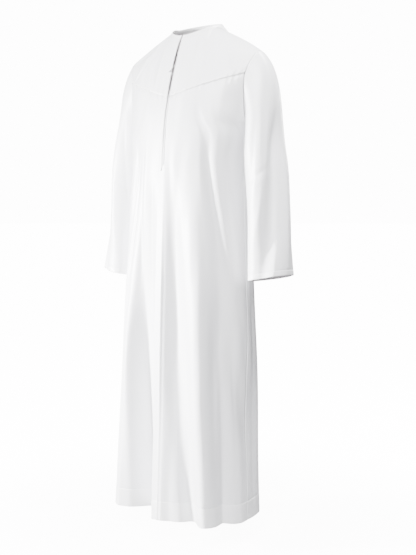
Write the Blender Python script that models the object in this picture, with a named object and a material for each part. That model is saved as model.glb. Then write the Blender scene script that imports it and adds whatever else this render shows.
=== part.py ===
"""A long white robe with long straight sleeves, filled out as it is worn.

The cloth is a wall through measured sections. The front and the back are each one surface that
runs from the hem up to the neck and the shoulder seam; the front is cut across at the V-shaped
yoke seam and slit down its middle. The sleeves are tubes lofted from the armholes to the cuffs.
The tables hold millimetres. The front of the robe faces -Y, the wearer's left is +X, and the
origin is the middle of the neck, level with the highest points of the shoulders.
"""

import bpy
import numpy as np

MM = 0.001

# Cloth and seams
CLOTH = 1.5
SEAM_GAP = 0.3
BAND_LIFT = 0.35
BAND_THICK = 1.2

# Sections of the front, from the hem upwards. A section leaves the centre line at fwd_centre and
# reaches the side or the armhole at half_width and fwd_edge. fullness squares its corner, and
# closing 1 turns it right round to the side, while 0 leaves it open at the armhole.
FRONT_SECTIONS = (
    # z_centre, z_edge, half_width, fwd_centre, fwd_edge, fullness, closing, rise_power
    (-1402, -1402, 214, 198, 63, 3.0, 1.00, 1.0),
    (-1190, -1190, 209, 192, 60, 2.8, 1.00, 1.0),
    (-950, -950, 204, 187, 54, 2.6, 1.00, 1.0),
    (-740, -740, 196, 182, 46, 2.5, 1.00, 1.0),
    (-520, -520, 184, 177, 34, 2.5, 1.00, 1.0),
    (-390, -390, 180, 171, 24, 2.5, 1.00, 1.0),
    (-310, -310, 192, 164, 18, 2.4, 1.00, 1.0),
    (-285, -282, 196, 161, 46, 2.3, 0.55, 1.0),
    (-245, -218, 199, 154, 62, 2.3, 0.15, 1.0),
    (-212, -152, 202, 145, 60, 2.2, 0.00, 1.1),
)
BACK_SECTIONS = (
    (-1402, -1402, 214, -104, 63, 2.7, 1.00, 1.0),
    (-1190, -1190, 209, -100, 60, 2.7, 1.00, 1.0),
    (-950, -950, 204, -97, 54, 2.6, 1.00, 1.0),
    (-740, -740, 196, -94, 46, 2.4, 1.00, 1.0),
    (-520, -520, 184, -93, 34, 2.4, 1.00, 1.0),
    (-390, -390, 180, -98, 24, 2.4, 1.00, 1.0),
    (-310, -310, 192, -104, 18, 2.4, 1.00, 1.0),
    (-285, -282, 196, -105, -18, 2.3, 0.55, 1.0),
    (-225, -215, 201, -106, -50, 2.3, 0.15, 1.0),
    (-130, -140, 208, -98, -50, 2.2, 0.00, 1.0),
    (-60, -94, 219, -80, -16, 2.2, 0.00, 3.0),
)
UNDERARM_STATION = 6
HEM_Z = FRONT_SECTIONS[0][0]
YOKE_STATION = len(FRONT_SECTIONS) - 1

# Neck seam, an oval in plan that drops to the front, and the shoulder seam, which lies a little
# in front of the shoulder's ridge
NECK_HALF_WIDTH = 79
NECK_FRONT = 83
NECK_BACK = 57
NECK_Z_FRONT = -37
NECK_Z_SIDE = -9
NECK_Z_BACK = 6
SHOULDER_SEAM_NECK_FWD = 29
SHOULDER_SEAM_END = (220, 25, -90)
SHOULDER_SEAM_CROWN = 2
SHOULDER_SEAM_FACE = (0.42, 0.36, 0.83)

# Which way the cloth runs as it reaches the top edge: at the middle, at the end of the neck
# part, and at the armhole
FRONT_TOP_RUN = ((0, -0.45, 0.89), (-0.05, -0.72, 0.69), (0.10, -0.75, 0.65))
BACK_TOP_RUN = ((0, 0.30, 0.95), (-0.08, 0.93, -0.20), (0, 0.90, -0.44))
HIGH_POINT_RUN = (-0.55, 0.72, 0.42)

# Sleeve rings below the armhole, for the wearer's left arm
SLEEVE_RINGS = (
    # z, out, fwd, half_out, half_fwd, tilt_out, tilt_fwd
    (-372, 233, 8, 48, 73, 0.06, 0.00),
    (-520, 249, 10, 51, 74, 0.10, 0.01),
    (-636, 260, 15, 53, 75, 0.16, 0.02),
    (-717, 267, 20, 55, 76, 0.20, 0.03),
)
SLEEVE_FULLNESS = 2.15
SLEEVE_TOP_RUN = (0.74, 0, -0.67)
SLEEVE_UNDERARM_RUN = (-0.03, 0, -1.0)

# Folds of the body. girth is 0 at the middle of the front, 1 and -1 at the wearer's left and right
# side seams, and 2 at the middle of the back. depth is out from the surface at the lower end. A fold
# that ends above the hem fades out over FOLD_FADE.
FOLD_FADE = 250
BODY_FOLDS = (
    # girth_top, girth_low, z_top, z_low, width_top, width_low, depth, flatness, growth
    (-0.12, -0.295, -430, -1402, 0.12, 0.29, -80, 0.60, 1.4),
    (0.02, 0.03, -430, -1402, 0.09, 0.12, 7, 1.00, 1.0),
    (-0.42, -0.68, -330, -1402, 0.10, 0.15, 13, 1.00, 0.7),
    (-0.58, -0.88, -300, -1402, 0.08, 0.15, -12, 1.00, 0.7),
    (0.10, 0.37, -400, -1402, 0.10, 0.15, -19, 0.90, 0.8),
    (0.28, 0.54, -300, -1402, 0.14, 0.16, 10, 0.90, 0.8),
    (0.40, 0.84, -235, -1000, 0.07, 0.15, -11, 1.00, 0.5),
    (0.56, 1.02, -240, -900, 0.08, 0.14, 5, 1.00, 0.5),
    (0.74, 0.72, -900, -1402, 0.10, 0.12, -13, 1.00, 0.8),
    (1.44, 1.46, -420, -1402, 0.14, 0.18, -20, 0.90, 0.9),
    (1.60, 1.66, -300, -1402, 0.14, 0.17, 15, 0.90, 0.9),
    (1.88, 1.98, -330, -1402, 0.14, 0.19, -24, 0.90, 0.9),
    (-1.66, -1.68, -300, -1402, 0.14, 0.17, 16, 0.90, 0.9),
    (-1.44, -1.44, -420, -1402, 0.14, 0.18, -20, 0.90, 0.9),
)

# Share of the half girth beside an armhole over which the body's folds fade out
ARMHOLE_FLAT = 0.14

# Drag folds of the right shoulder, which run from the neck down to the yoke seam
YOKE_FOLDS = (
    # girth_top, girth_low, width, depth
    (-0.26, -0.30, 0.055, 3.5),
    (-0.34, -0.47, 0.060, -4.0),
    (-0.40, -0.60, 0.060, 4.5),
    (-0.50, -0.78, 0.060, -3.5),
)

# Folds of a sleeve. turn is 0 at the inner side, 0.25 in front, 0.5 outside and 0.75 behind.
LEFT_SLEEVE_FOLDS = (
    # turn_top, turn_low, z_top, z_low, width, depth
    (0.50, 0.27, -230, -735, 0.075, -9),
    (0.38, 0.16, -200, -700, 0.080, 5),
    (0.60, 0.40, -300, -735, 0.080, 5),
    (0.72, 0.66, -260, -735, 0.090, -6),
    (0.92, 0.84, -330, -735, 0.080, 5),
)
RIGHT_SLEEVE_FOLDS = (
    (0.50, 0.30, -230, -735, 0.075, -8),
    (0.38, 0.18, -200, -700, 0.080, 5),
    (0.60, 0.43, -300, -735, 0.080, 6),
    (0.72, 0.66, -260, -735, 0.090, -6),
    (0.92, 0.84, -330, -735, 0.080, 5),
)

# Front opening, from the neck down the middle
SLIT_END_Z = -400
SLIT_WIDTH = ((-435, 0.9), (-330, 1.2), (-225, 2.0), (-190, 5.0), (-120, 7.0), (-70, 6.0), (-37, 4.4))
RIGHT_BAND_WIDTH = 11.5
LEFT_BAND_WIDTH = 5.0
BAND_END = 16

# Neck binding, which leans towards the neck by these shares of its height
BINDING_HEIGHT = 7.0
BINDING_THICK = 2.2
BINDING_GAP = 0.6
BINDING_LEAN = ((0, 0.50), (70, 0.62), (110, 0.62), (180, 0.34))

# Button on the right facing, as radius and height above it, and its loop from the left facing
BUTTON_Z = -139
BUTTON_OUT = -8.0
BUTTON_PROFILE = ((1.8, 0), (1.8, 2.2), (4.0, 2.5), (4.4, 3.5), (3.5, 4.8), (1.8, 5.4))
LOOP_RADIUS = 0.8
LOOP_TURN = 2.9
LOOP_ENDS = ((7.0, -124.0), (7.0, -150.0))

# Mesh density
FRONT_COLUMNS_HALF = 20
BACK_COLUMNS_HALF = 15
SLEEVE_COLUMNS = 24
FRONT_BODY_ROWS = (0, 0.02, 0.22, 0.5, 0.78, 1, 1.3, 1.65, 2, 2.3, 2.65, 3, 3.25, 3.5, 3.75, 4, 4.4,
                   4.8, 4.93, 5, 5.5, 6, 7, 7.5, 8, 8.5)
YOKE_ROWS = (0.1, 0.25, 0.4, 0.55, 0.7, 0.82, 0.92)
BACK_ROWS = (0, 0.02, 0.22, 0.5, 0.78, 1, 1.3, 1.65, 2, 2.35, 2.7, 3, 3.35, 3.7, 4, 4.35, 4.7, 5, 5.5,
             6, 7, 7.5, 8, 8.5, 9, 9.5, 10, 10.3, 10.5, 10.65, 10.8, 10.9)
SLEEVE_ROWS = (0, 0.06, 0.14, 0.24, 0.36, 0.5, 0.65, 0.82, 1, 1.25, 1.5, 1.75, 2, 2.3, 2.6, 3, 3.35,
               3.7, 3.97, 4)
SECTION_SAMPLES = 240

FINISHES = {
    # finish: colour, roughness
    "cotton": ((0.90, 0.90, 0.915), 0.72),
    "binding": ((0.88, 0.88, 0.90), 0.70),
    "button": ((0.86, 0.86, 0.88), 0.55),
}


def unit(vectors):
    """Vectors scaled to length 1."""
    return vectors / np.maximum(np.linalg.norm(vectors, axis=-1, keepdims=True), 1e-12)


def along(curve, distances):
    """Points of a polyline at these distances from its start."""
    steps = np.linalg.norm(np.diff(curve, axis=0), axis=1)
    reach = np.concatenate([[0.0], np.cumsum(steps)])
    return np.stack([np.interp(distances, reach, curve[:, k]) for k in range(3)], axis=1)


def length_of(curve):
    """Length of a polyline."""
    return float(np.linalg.norm(np.diff(curve, axis=0), axis=1).sum())


def section_curve(row):
    """One section from the centre line to the side, as points (out, forward, up) in millimetres.

    forward = edge + (centre - edge) * (1 - t^fullness)^k, where k is 1 for an open section and
    1 / fullness for one that closes at the side, and t is the share of the half width.
    """
    z_centre, z_edge, half_width, fwd_centre, fwd_edge, fullness, closing, rise = row
    t = 1 - (1 - np.linspace(0, 1, SECTION_SAMPLES)) ** 2
    power = 1 / (1 + (fullness - 1) * closing)
    out = half_width * t
    fwd = fwd_edge + (fwd_centre - fwd_edge) * np.maximum(1 - t**fullness, 0) ** power
    up = z_centre + (z_edge - z_centre) * t**rise
    return np.stack([out, fwd, up], axis=1)


def neck_point(angle):
    """Points of the neck seam. angle is 0 in front, a right angle at the side and pi behind."""
    cosine = np.cos(angle)
    depth = np.where(cosine > 0, NECK_FRONT, NECK_BACK)
    front_z = NECK_Z_SIDE + (NECK_Z_FRONT - NECK_Z_SIDE) * np.abs(cosine) ** 1.6
    back_z = NECK_Z_SIDE + (NECK_Z_BACK - NECK_Z_SIDE) * np.abs(cosine) ** 1.2
    up = np.where(cosine > 0, front_z, back_z)
    return np.stack([NECK_HALF_WIDTH * np.sin(angle), depth * cosine, up], axis=1)


def top_curve(start_angle):
    """The top edge from the middle: the neck seam, then the shoulder seam to the armhole.

    Returns the curve and the share of its length that is neck.
    """
    seam_angle = np.arccos(SHOULDER_SEAM_NECK_FWD / NECK_FRONT)
    neck = neck_point(np.linspace(start_angle, seam_angle, SECTION_SAMPLES))
    t = np.linspace(0, 1, SECTION_SAMPLES)[:, None]
    seam = neck[-1] + (np.array(SHOULDER_SEAM_END) - neck[-1]) * t
    seam[:, 2] += SHOULDER_SEAM_CROWN * np.sin(np.pi * t[:, 0])
    curve = np.concatenate([neck, seam[1:]])
    return curve, length_of(neck) / length_of(curve)


def blended_run(share, knots, runs):
    """Unit directions between the given ones, by share of the edge's length."""
    runs = np.array(runs, float)
    return unit(np.stack([np.interp(share, knots, runs[:, k]) for k in range(3)], axis=1))


def interior_runs(stations):
    """Unit direction of the cloth at each station, averaged from its two neighbours."""
    chords = np.diff(stations, axis=0)
    lengths = np.maximum(np.linalg.norm(chords, axis=2, keepdims=True), 1e-9)
    units = chords / lengths
    runs = np.empty_like(stations)
    runs[0], runs[-1] = units[0], units[-1]
    runs[1:-1] = unit(units[:-1] * lengths[1:] + units[1:] * lengths[:-1])
    return runs


def loft(stations, runs, rows):
    """Points of the surface through the stations, at these rows.

    Each column is a chain of cubic Hermite curves, whose end slopes are the runs times the
    distance between the two stations. Row 2.5 lies half way between stations 2 and 3.
    """
    rows = np.asarray(rows, float)
    first = np.clip(rows.astype(int), 0, len(stations) - 2)
    t = (rows - first)[:, None, None]
    low, high = stations[first], stations[first + 1]
    chord = np.linalg.norm(high - low, axis=2, keepdims=True)
    return (
        (2 * t**3 - 3 * t**2 + 1) * low
        + (t**3 - 2 * t**2 + t) * chord * runs[first]
        + (3 * t**2 - 2 * t**3) * high
        + (t**3 - t**2) * chord * runs[first + 1]
    )


def to_world(points):
    """(out, forward, up) in millimetres to X, Y and Z in metres."""
    return points * np.array([1, -1, 1]) * MM


def smooth(x):
    """A smooth step from 0 to 1."""
    x = np.clip(x, 0, 1)
    return x * x * (3 - 2 * x)


def body_fold_depth(girth, up):
    """How far the folds move each point of the body out, in millimetres."""
    depth = np.zeros_like(up)
    for g_top, g_low, z_top, z_low, w_top, w_low, low_depth, flatness, growth in BODY_FOLDS:
        share = np.clip((z_top - up) / (z_top - z_low), 0, 1.4)
        middle = g_top + (g_low - g_top) * share
        width = w_top + (w_low - w_top) * share
        offset = np.abs((girth - middle + 2) % 4 - 2) / width
        shape = np.where(offset < 1, 0.5 + 0.5 * np.cos(np.pi * np.minimum(offset, 1)), 0)
        fade = smooth((up - z_low + FOLD_FADE) / FOLD_FADE) if z_low > HEM_Z else 1
        depth += low_depth * np.minimum(share, 1) ** growth * shape**flatness * fade
    return depth


def yoke_fold_depth(girth, climb):
    """How far the drag folds of the yoke move each point out. climb is 0 at the yoke seam."""
    depth = np.zeros_like(climb)
    for g_top, g_low, width, high in YOKE_FOLDS:
        middle = g_low + (g_top - g_low) * climb
        offset = np.abs(girth - middle) / (width * (1.6 - 0.9 * climb))
        shape = np.where(offset < 1, 0.5 + 0.5 * np.cos(np.pi * np.minimum(offset, 1)), 0)
        depth += high * shape * np.sin(np.pi * climb)
    return depth


def half_panel(sections, start_angle, top_run, shares, trim, band=0.0):
    """Stations and runs of one half of the front or back, at these shares of the half girth.

    trim is how far the side and armhole edge is cut back, and band is how far from the middle the
    shares begin, both in millimetres. A band puts one more column on the middle line itself.
    """
    top, neck_share = top_curve(start_angle)
    corner = shares[np.argmin(np.abs(shares - neck_share))]
    stations = []
    for curve in [*[section_curve(row) for row in sections], top]:
        whole = length_of(curve)
        knots, ends = [0, 1], [band, whole - trim]
        if curve is top and 0 < corner < 1:
            knots, ends = [0, corner, 1], [band, whole * neck_share, whole - trim]
        reach = np.interp(shares, knots, ends)
        stations.append(along(curve, np.concatenate([[0.0], reach]) if band else reach))
    stations = np.array(stations)
    runs = interior_runs(stations)
    if band:
        shares = np.concatenate([[0.0], shares])
    below = unit(stations[UNDERARM_STATION] - stations[UNDERARM_STATION - 1])
    weight = shares[:, None] ** 6
    runs[UNDERARM_STATION] = unit(weight * below + (1 - weight) * runs[UNDERARM_STATION])
    knots, given = [0, neck_share, 1], list(top_run)
    if start_angle > 0:
        knots.insert(1, 0.8 * neck_share)
        given.insert(1, HIGH_POINT_RUN)
    runs[-1] = blended_run(shares, knots, given)
    return stations, runs


def front_surface(shares, rows):
    """Points of the front at these rows, from the wearer's right to the left, with its girths.

    Each half has a column on the middle line, one at its band's edge and the rest by share.
    """
    halves = []
    for band, side in ((RIGHT_BAND_WIDTH, -1), (LEFT_BAND_WIDTH, 1)):
        stations, runs = half_panel(FRONT_SECTIONS, 0.0, FRONT_TOP_RUN, shares, SEAM_GAP / 2, band)
        halves.append(loft(stations, runs, rows) * np.array([side, 1, 1]))
    girth = np.concatenate([[0.0], shares])
    points = np.concatenate([halves[0][:, ::-1], halves[1]], axis=1)
    return points, np.broadcast_to(np.concatenate([-girth[::-1], girth]), points.shape[:2])


def back_surface(shares, rows):
    """Points of the back at these rows, from the wearer's left to the right, with its girths."""
    stations, runs = half_panel(BACK_SECTIONS, np.pi, BACK_TOP_RUN, shares, SEAM_GAP / 2)
    left = loft(stations, runs, rows)
    right = left * np.array([-1, 1, 1])
    points = np.concatenate([left[:, ::-1], right[:, 1:]], axis=1)
    girth = np.concatenate([(2 - shares)[::-1], (shares - 2)[1:]])
    return points, np.broadcast_to(girth, points.shape[:2])


def grid_normals(points, wrap=False):
    """Outward unit normals of a grid whose rows climb.

    Its columns run anticlockwise as seen from above, from the wearer's right across the front.
    """
    if wrap:
        across = np.roll(points, -1, axis=1) - np.roll(points, 1, axis=1)
    else:
        across = np.gradient(points, axis=1)
    return unit(np.cross(np.gradient(points, axis=0), across))


def folded(points, depth, wrap=False, rows=None, edge_columns=()):
    """The grid moved out along its normals by the folds' depth, with its new normals."""
    normals = edge_normals(grid_normals(points, wrap), rows, edge_columns)
    points = points + normals * depth[..., None]
    return points, edge_normals(grid_normals(points, wrap), rows, edge_columns)


def material(name, finish):
    """A piece's own material, with the colour and roughness of this finish."""
    colour, roughness = FINISHES[finish]
    made = bpy.data.materials.new(name)
    made.use_nodes = True
    shader = made.node_tree.nodes["Principled BSDF"]
    shader.inputs["Base Color"].default_value = (*colour, 1)
    shader.inputs["Roughness"].default_value = roughness
    shader.inputs["Metallic"].default_value = 0.0
    return made


def add_object(name, points, faces, finish, collection):
    """A mesh object from points in millimetres (out, forward, up)."""
    mesh = bpy.data.meshes.new(name)
    mesh.from_pydata(to_world(points).tolist(), [], faces)
    mesh.update()
    made = bpy.data.objects.new(name, mesh)
    collection.objects.link(made)
    mesh.materials.append(material(name, finish))
    mesh.shade_smooth()
    mesh.set_sharp_from_angle(angle=np.radians(50))
    return made


def wall_object(name, outer, inner, collection, finish="cotton", keep=None, wrap=False):
    """A closed wall between an outer and an inner grid.

    keep says which cells are cloth. The rim follows every edge that only one kept cell has.
    """
    rows, columns = outer.shape[:2]
    across = columns if wrap else columns - 1
    if keep is None:
        keep = np.ones((rows - 1, across), bool)
    index = np.arange(rows * columns).reshape(rows, columns)
    second = rows * columns
    outer_faces = [
        (index[r, c], index[r, (c + 1) % columns], index[r + 1, (c + 1) % columns], index[r + 1, c])
        for r in range(rows - 1)
        for c in range(across)
        if keep[r, c]
    ]
    edges = {(face[k], face[(k + 1) % 4]) for face in outer_faces for k in range(4)}
    rim = [(a, b) for a, b in edges if (b, a) not in edges]
    faces = [tuple(int(i) for i in face) for face in outer_faces]
    faces += [tuple(int(i) + second for i in face[::-1]) for face in outer_faces]
    faces += [(int(b), int(a), int(a) + second, int(b) + second) for a, b in sorted(rim)]
    points = np.concatenate([outer.reshape(-1, 3), inner.reshape(-1, 3)])
    used = sorted({i for face in faces for i in face})
    renumber = {old: new for new, old in enumerate(used)}
    faces = [tuple(renumber[i] for i in face) for face in faces]
    return add_object(name, points[used], faces, finish, collection)


def slit_half_width(up):
    """Half the width of the front opening at this height."""
    heights, widths = np.array(SLIT_WIDTH, float).T
    return np.interp(up, heights, widths) / 2


def front_rows():
    """Rows of the front body and of the yoke, on either side of the yoke seam."""
    gap = SEAM_GAP / 2 / 60
    body = [*FRONT_BODY_ROWS, YOKE_STATION - gap]
    yoke = [YOKE_STATION + gap, *[YOKE_STATION + r for r in YOKE_ROWS], YOKE_STATION + 1]
    return body, yoke


def front_grid(rows):
    """The folded front at these rows, with its normals and the first column of its left half."""
    rows = np.asarray(rows)
    points, girth = front_surface(np.linspace(0, 1, FRONT_COLUMNS_HALF), rows)
    climb = np.clip(rows - YOKE_STATION, 0, 1)[:, None] * np.ones_like(girth)
    depth = body_fold_depth(girth, points[..., 2]) * smooth((YOKE_STATION + 0.4 - rows) / 1.2)[:, None]
    depth += yoke_fold_depth(girth, climb)
    depth *= edge_fade(girth, rows)
    points, normals = folded(points, depth, rows=rows, edge_columns=((0, -1), (-1, 1)))
    normals[-1] = seam_normals(points[-1], normals[-1])
    middle = FRONT_COLUMNS_HALF + 1
    width = slit_half_width(points[:, middle, 2])
    points[:, middle - 1, 0] -= width
    points[:, middle, 0] += width
    return points, normals, middle


def inner_of(points, normals):
    """The wall's inner grid."""
    return points - normals * CLOTH


def edge_normals(normals, rows, edge_columns):
    """Normals made square to the side seams, and turned clear of the sleeves at the armholes."""
    turned = normals.copy()
    if not edge_columns:
        return turned
    seam = np.asarray(rows) <= UNDERARM_STATION
    for column, side in edge_columns:
        turned[seam, column] = (side, 0, 0)
        turned[~seam, column] = clear_of(turned[~seam, column], side)
    return turned


def clear_of(normals, side):
    """Normals whose sideways part never points away from the given side, at full wall thickness."""
    kept = normals.copy()
    kept[:, 0] = np.where(normals[:, 0] * side > 0, normals[:, 0], 0)
    return kept / np.sum(kept * normals, axis=1, keepdims=True)


def seam_normals(points, normals):
    """Normals of a top edge, turned to one shared direction along the shoulder seam.

    The two sides of the seam then end in parallel faces, at full wall thickness.
    """
    turned = normals.copy()
    for side in (-1, 1):
        on_seam = points[:, 0] * side > 0.93 * NECK_HALF_WIDTH
        shared = unit(np.array(SHOULDER_SEAM_FACE) * [side, 1, 1])
        turned[on_seam] = shared / np.sum(normals[on_seam] * shared, axis=1, keepdims=True)
    return turned


def edge_fade(girth, rows):
    """0 at the armhole's edge and 1 away from it, and 1 everywhere below the armhole."""
    gap = np.abs(np.abs((girth + 2) % 4 - 2) - 1)
    above = smooth(np.asarray(rows)[:, None] - (UNDERARM_STATION - 1))
    return 1 - above * (1 - smooth(gap / ARMHOLE_FLAT))


def make_front(collection):
    """The front body below the yoke seam and the two halves of the yoke.

    Returns the grid, its normals and the first column left of the opening, for what lies on it.
    """
    body_rows, yoke_rows = front_rows()
    points, normals, half = front_grid([*body_rows, *yoke_rows])
    split = len(body_rows)
    body, body_normals = points[:split], normals[:split]
    keep = np.ones((split - 1, points.shape[1] - 1), bool)
    keep[:, half - 1] = body[1:, half, 2] < SLIT_END_Z
    wall_object("front_panel", body, inner_of(body, body_normals), collection, keep=keep)
    for name, columns in (("yoke_right", slice(0, half)), ("yoke_left", slice(half, None))):
        outer, out = points[split:, columns], normals[split:, columns]
        wall_object(name, outer, inner_of(outer, out), collection)
    return points, normals, half


def make_back(collection):
    """The back, in one piece from the hem over the shoulders to the shoulder seams."""
    rows = [*BACK_ROWS, len(BACK_SECTIONS) - SEAM_GAP / 100]
    shares = np.linspace(0, 1, BACK_COLUMNS_HALF + 1)
    points, girth = back_surface(shares, rows)
    depth = body_fold_depth(girth, points[..., 2]) * smooth((7.5 - np.asarray(rows)) / 1.5)[:, None]
    depth *= edge_fade(girth, rows)
    points, normals = folded(points, depth, rows=rows, edge_columns=((0, 1), (-1, -1)))
    normals[-1] = seam_normals(points[-1], normals[-1])
    wall_object("back_panel", points, inner_of(points, normals), collection)


def armhole_loop():
    """The wearer's left armhole as a closed curve from the underarm up the front and down the back.

    Returns the front and back halves, which meet at the underarm and at the shoulder's ridge.
    """
    edge = np.array([1.0])
    front_rows_fine = np.linspace(UNDERARM_STATION, len(FRONT_SECTIONS), 60)
    back_rows_fine = np.linspace(UNDERARM_STATION, len(BACK_SECTIONS), 90)
    front_stations, front_runs = half_panel(FRONT_SECTIONS, 0.0, FRONT_TOP_RUN, edge, 0.0)
    back_stations, back_runs = half_panel(BACK_SECTIONS, np.pi, BACK_TOP_RUN, edge, 0.0)
    front = loft(front_stations, front_runs, front_rows_fine)[:, 0]
    back = loft(back_stations, back_runs, back_rows_fine)[:, 0]
    ridge = int(np.argmax(back[:, 2]))
    front = np.concatenate([front, back[: ridge - 1 : -1][1:]])
    return front, back[: ridge + 1][::-1]


def ring(z, out, fwd, half_out, half_fwd, tilt_out, tilt_fwd, turns):
    """One ring of the sleeve at these turns, which count from its inner side round by the front."""
    angle = np.linspace(0, 2 * np.pi, SECTION_SAMPLES * 2)
    power = 2 / SLEEVE_FULLNESS
    across = -np.sign(np.cos(angle)) * np.abs(np.cos(angle)) ** power * half_out
    deep = np.sign(np.sin(angle)) * np.abs(np.sin(angle)) ** power * half_fwd
    up = z + tilt_out * across + tilt_fwd * deep
    curve = np.stack([out + across, fwd + deep, up], axis=1)
    return along(curve, turns * length_of(curve))


def sleeve_grid(turns, rows, folds):
    """The folded sleeve of the wearer's left arm, from the armhole down."""
    front, back = armhole_loop()
    top = np.where(
        (turns <= 0.5)[:, None],
        along(front, turns * 2 * length_of(front)),
        along(back, (turns * 2 - 1) * length_of(back)),
    )
    stations = np.array([top] + [ring(*row, turns) for row in SLEEVE_RINGS])
    runs = interior_runs(stations)
    share = np.sin(np.pi * turns)[:, None] ** 2
    runs[0] = unit(share * np.array(SLEEVE_TOP_RUN) + (1 - share) * np.array(SLEEVE_UNDERARM_RUN))
    stations[0] += runs[0] * SEAM_GAP
    stations[0][:, 0] += SEAM_GAP
    points = loft(stations, runs, rows)
    up = points[..., 2]
    depth = np.zeros_like(up)
    for t_top, t_low, z_top, z_low, width, low_depth in folds:
        progress = np.clip((z_top - up) / (z_top - z_low), 0, 1)
        offset = np.abs((turns - (t_top + (t_low - t_top) * progress) + 0.5) % 1 - 0.5) / width
        shape = np.where(offset < 1, 0.5 + 0.5 * np.cos(np.pi * np.minimum(offset, 1)), 0)
        depth += low_depth * shape * smooth(progress * 3)
    depth *= smooth(np.asarray(rows) / 0.5)[:, None]
    return points, depth


def make_sleeve(side, folds, name, collection):
    """One sleeve, a tube with its seam under the arm. side is 1 for the wearer's left."""
    turns = np.linspace(0, 1, SLEEVE_COLUMNS, endpoint=False)
    points, depth = sleeve_grid(turns, SLEEVE_ROWS, folds)
    points, normals = folded(points[::-1], depth[::-1], wrap=True)
    normals[-1] = clear_of(normals[-1], -1)
    inner = inner_of(points, normals)
    if side < 0:
        points, inner = points[:, ::-1] * [-1, 1, 1], inner[:, ::-1] * [-1, 1, 1]
    wall_object(name, points, inner, collection, wrap=True)


def make_bands(collection, points, normals, half):
    """The facings beside the front opening, which lie on the panel. The right one ends lower."""
    ends = {"placket_right": SLIT_END_Z - BAND_END - 3, "placket_left": SLIT_END_Z - 3}
    columns = {"placket_right": slice(half - 2, half), "placket_left": slice(half, half + 2)}
    for name, low in ends.items():
        start = np.nonzero(points[:, half, 2] > low)[0][0]
        base, out = points[start:, columns[name]], normals[start:, columns[name]]
        upper = base + out * (BAND_LIFT + BAND_THICK)
        wall_object(name, upper, base + out * BAND_LIFT, collection, finish="binding")


def tube_object(name, rings, collection, finish):
    """A closed tube through the rings, which hold the same number of points each."""
    spokes = rings[0] - rings[0].mean(axis=0)
    turning = np.cross(spokes[0], spokes[1])
    if np.dot(turning, rings[1].mean(axis=0) - rings[0].mean(axis=0)) > 0:
        rings = rings[:, ::-1]
    count, corners = rings.shape[:2]
    index = np.arange(count * corners).reshape(count, corners)
    faces = [
        (index[r, c], index[r, (c + 1) % corners], index[r + 1, (c + 1) % corners], index[r + 1, c])
        for r in range(count - 1)
        for c in range(corners)
    ]
    faces += [index[0][::-1], index[-1]]
    return add_object(name, rings.reshape(-1, 3), [tuple(map(int, f)) for f in faces], finish, collection)


def make_binding(collection):
    """The bound edge of the neck, from one side of the front opening round to the other."""
    angle = np.linspace(0, 2 * np.pi, 721)
    around = neck_point(np.minimum(angle, 2 * np.pi - angle))
    around[angle > np.pi, 0] *= -1
    gap = slit_half_width(NECK_Z_FRONT)
    path = along(around, np.linspace(gap, length_of(around) - gap, 61))
    run = unit(np.gradient(path, axis=0))
    out = unit(np.cross(np.array([0, 0, 1.0]), run))
    degrees = np.degrees(np.abs(np.arctan2(path[:, 0], path[:, 1])))
    lean = np.interp(degrees, *np.array(BINDING_LEAN).T)[:, None]
    out *= np.sign(np.sum(out * path, axis=1, keepdims=True))
    wall = unit(np.array([0, 0, 1.0]) - out * lean)
    wall = unit(wall - run * np.sum(wall * run, axis=1, keepdims=True))
    face = unit(np.cross(wall, run))
    face *= np.sign(np.sum(face * out, axis=1, keepdims=True))
    half = BINDING_THICK / 2
    middle = path - face * CLOTH / 2
    profile = ((0, half), (0, -half), (0.8, -half), (1, -half / 2), (1, half / 2), (0.8, half))
    rings = [middle + wall * (BINDING_GAP + h * BINDING_HEIGHT) + face * d for h, d in profile]
    tube_object("neck_binding", np.stack(rings, axis=1), collection, "binding")


def front_point(points, normals, half, out, up, lift):
    """Points above the front beside its opening, at these distances from the middle and heights."""
    near = slice(half - 2, half + 2)
    heights = points[:, half, 2]
    strips = np.concatenate([points[:, near], normals[:, near]], axis=2).reshape(len(heights), -1)
    found = np.array([np.interp(up, heights, strip) for strip in strips.T]).T.reshape(-1, 4, 6)
    spots = []
    for x, row in zip(out, found):
        spot = [np.interp(x, row[:, 0], row[:, k]) for k in range(3)]
        spots.append(spot + unit(row[:, 3:].mean(axis=0)) * lift)
    return np.array(spots)


def make_button(collection, points, normals, half):
    """The button on the right facing and the cord loop that holds it from the left facing."""
    turn = np.linspace(0, 2 * np.pi, 16, endpoint=False)
    base = BAND_LIFT + BAND_THICK + SEAM_GAP
    seat = front_point(points, normals, half, [BUTTON_OUT], [BUTTON_Z], 0.0)[0]
    axis = unit(front_point(points, normals, half, [BUTTON_OUT], [BUTTON_Z], 1.0)[0] - seat)
    across = unit(np.array([1.0, 0, 0]) - axis * axis[0])
    spoke = np.cos(turn)[:, None] * across + np.sin(turn)[:, None] * np.cross(axis, across)
    rings = [seat + axis * (base + height) + spoke * radius for radius, height in BUTTON_PROFILE]
    tube_object("button", np.array(rings), collection, "button")
    (out_a, up_a), (out_b, up_b) = LOOP_ENDS
    bend = np.linspace(0.5, 1.5, 11) * np.pi
    out = np.concatenate([[out_a, out_a - 5], BUTTON_OUT + LOOP_TURN * np.cos(bend), [out_b - 5, out_b]])
    up = np.concatenate([[up_a, up_a - 1], BUTTON_Z + LOOP_TURN * np.sin(bend), [up_b + 1, up_b]])
    path = front_point(points, normals, half, out, up, base + LOOP_RADIUS)
    run = unit(np.gradient(path, axis=0))
    side = unit(np.cross(run, np.broadcast_to(axis, run.shape)))
    lift = np.cross(side, run)
    spin = np.linspace(0, 2 * np.pi, 8, endpoint=False)
    rings = path[:, None] + LOOP_RADIUS * (
        np.cos(spin)[None, :, None] * side[:, None] + np.sin(spin)[None, :, None] * lift[:, None]
    )
    tube_object("button_loop", rings, collection, "binding")


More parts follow.
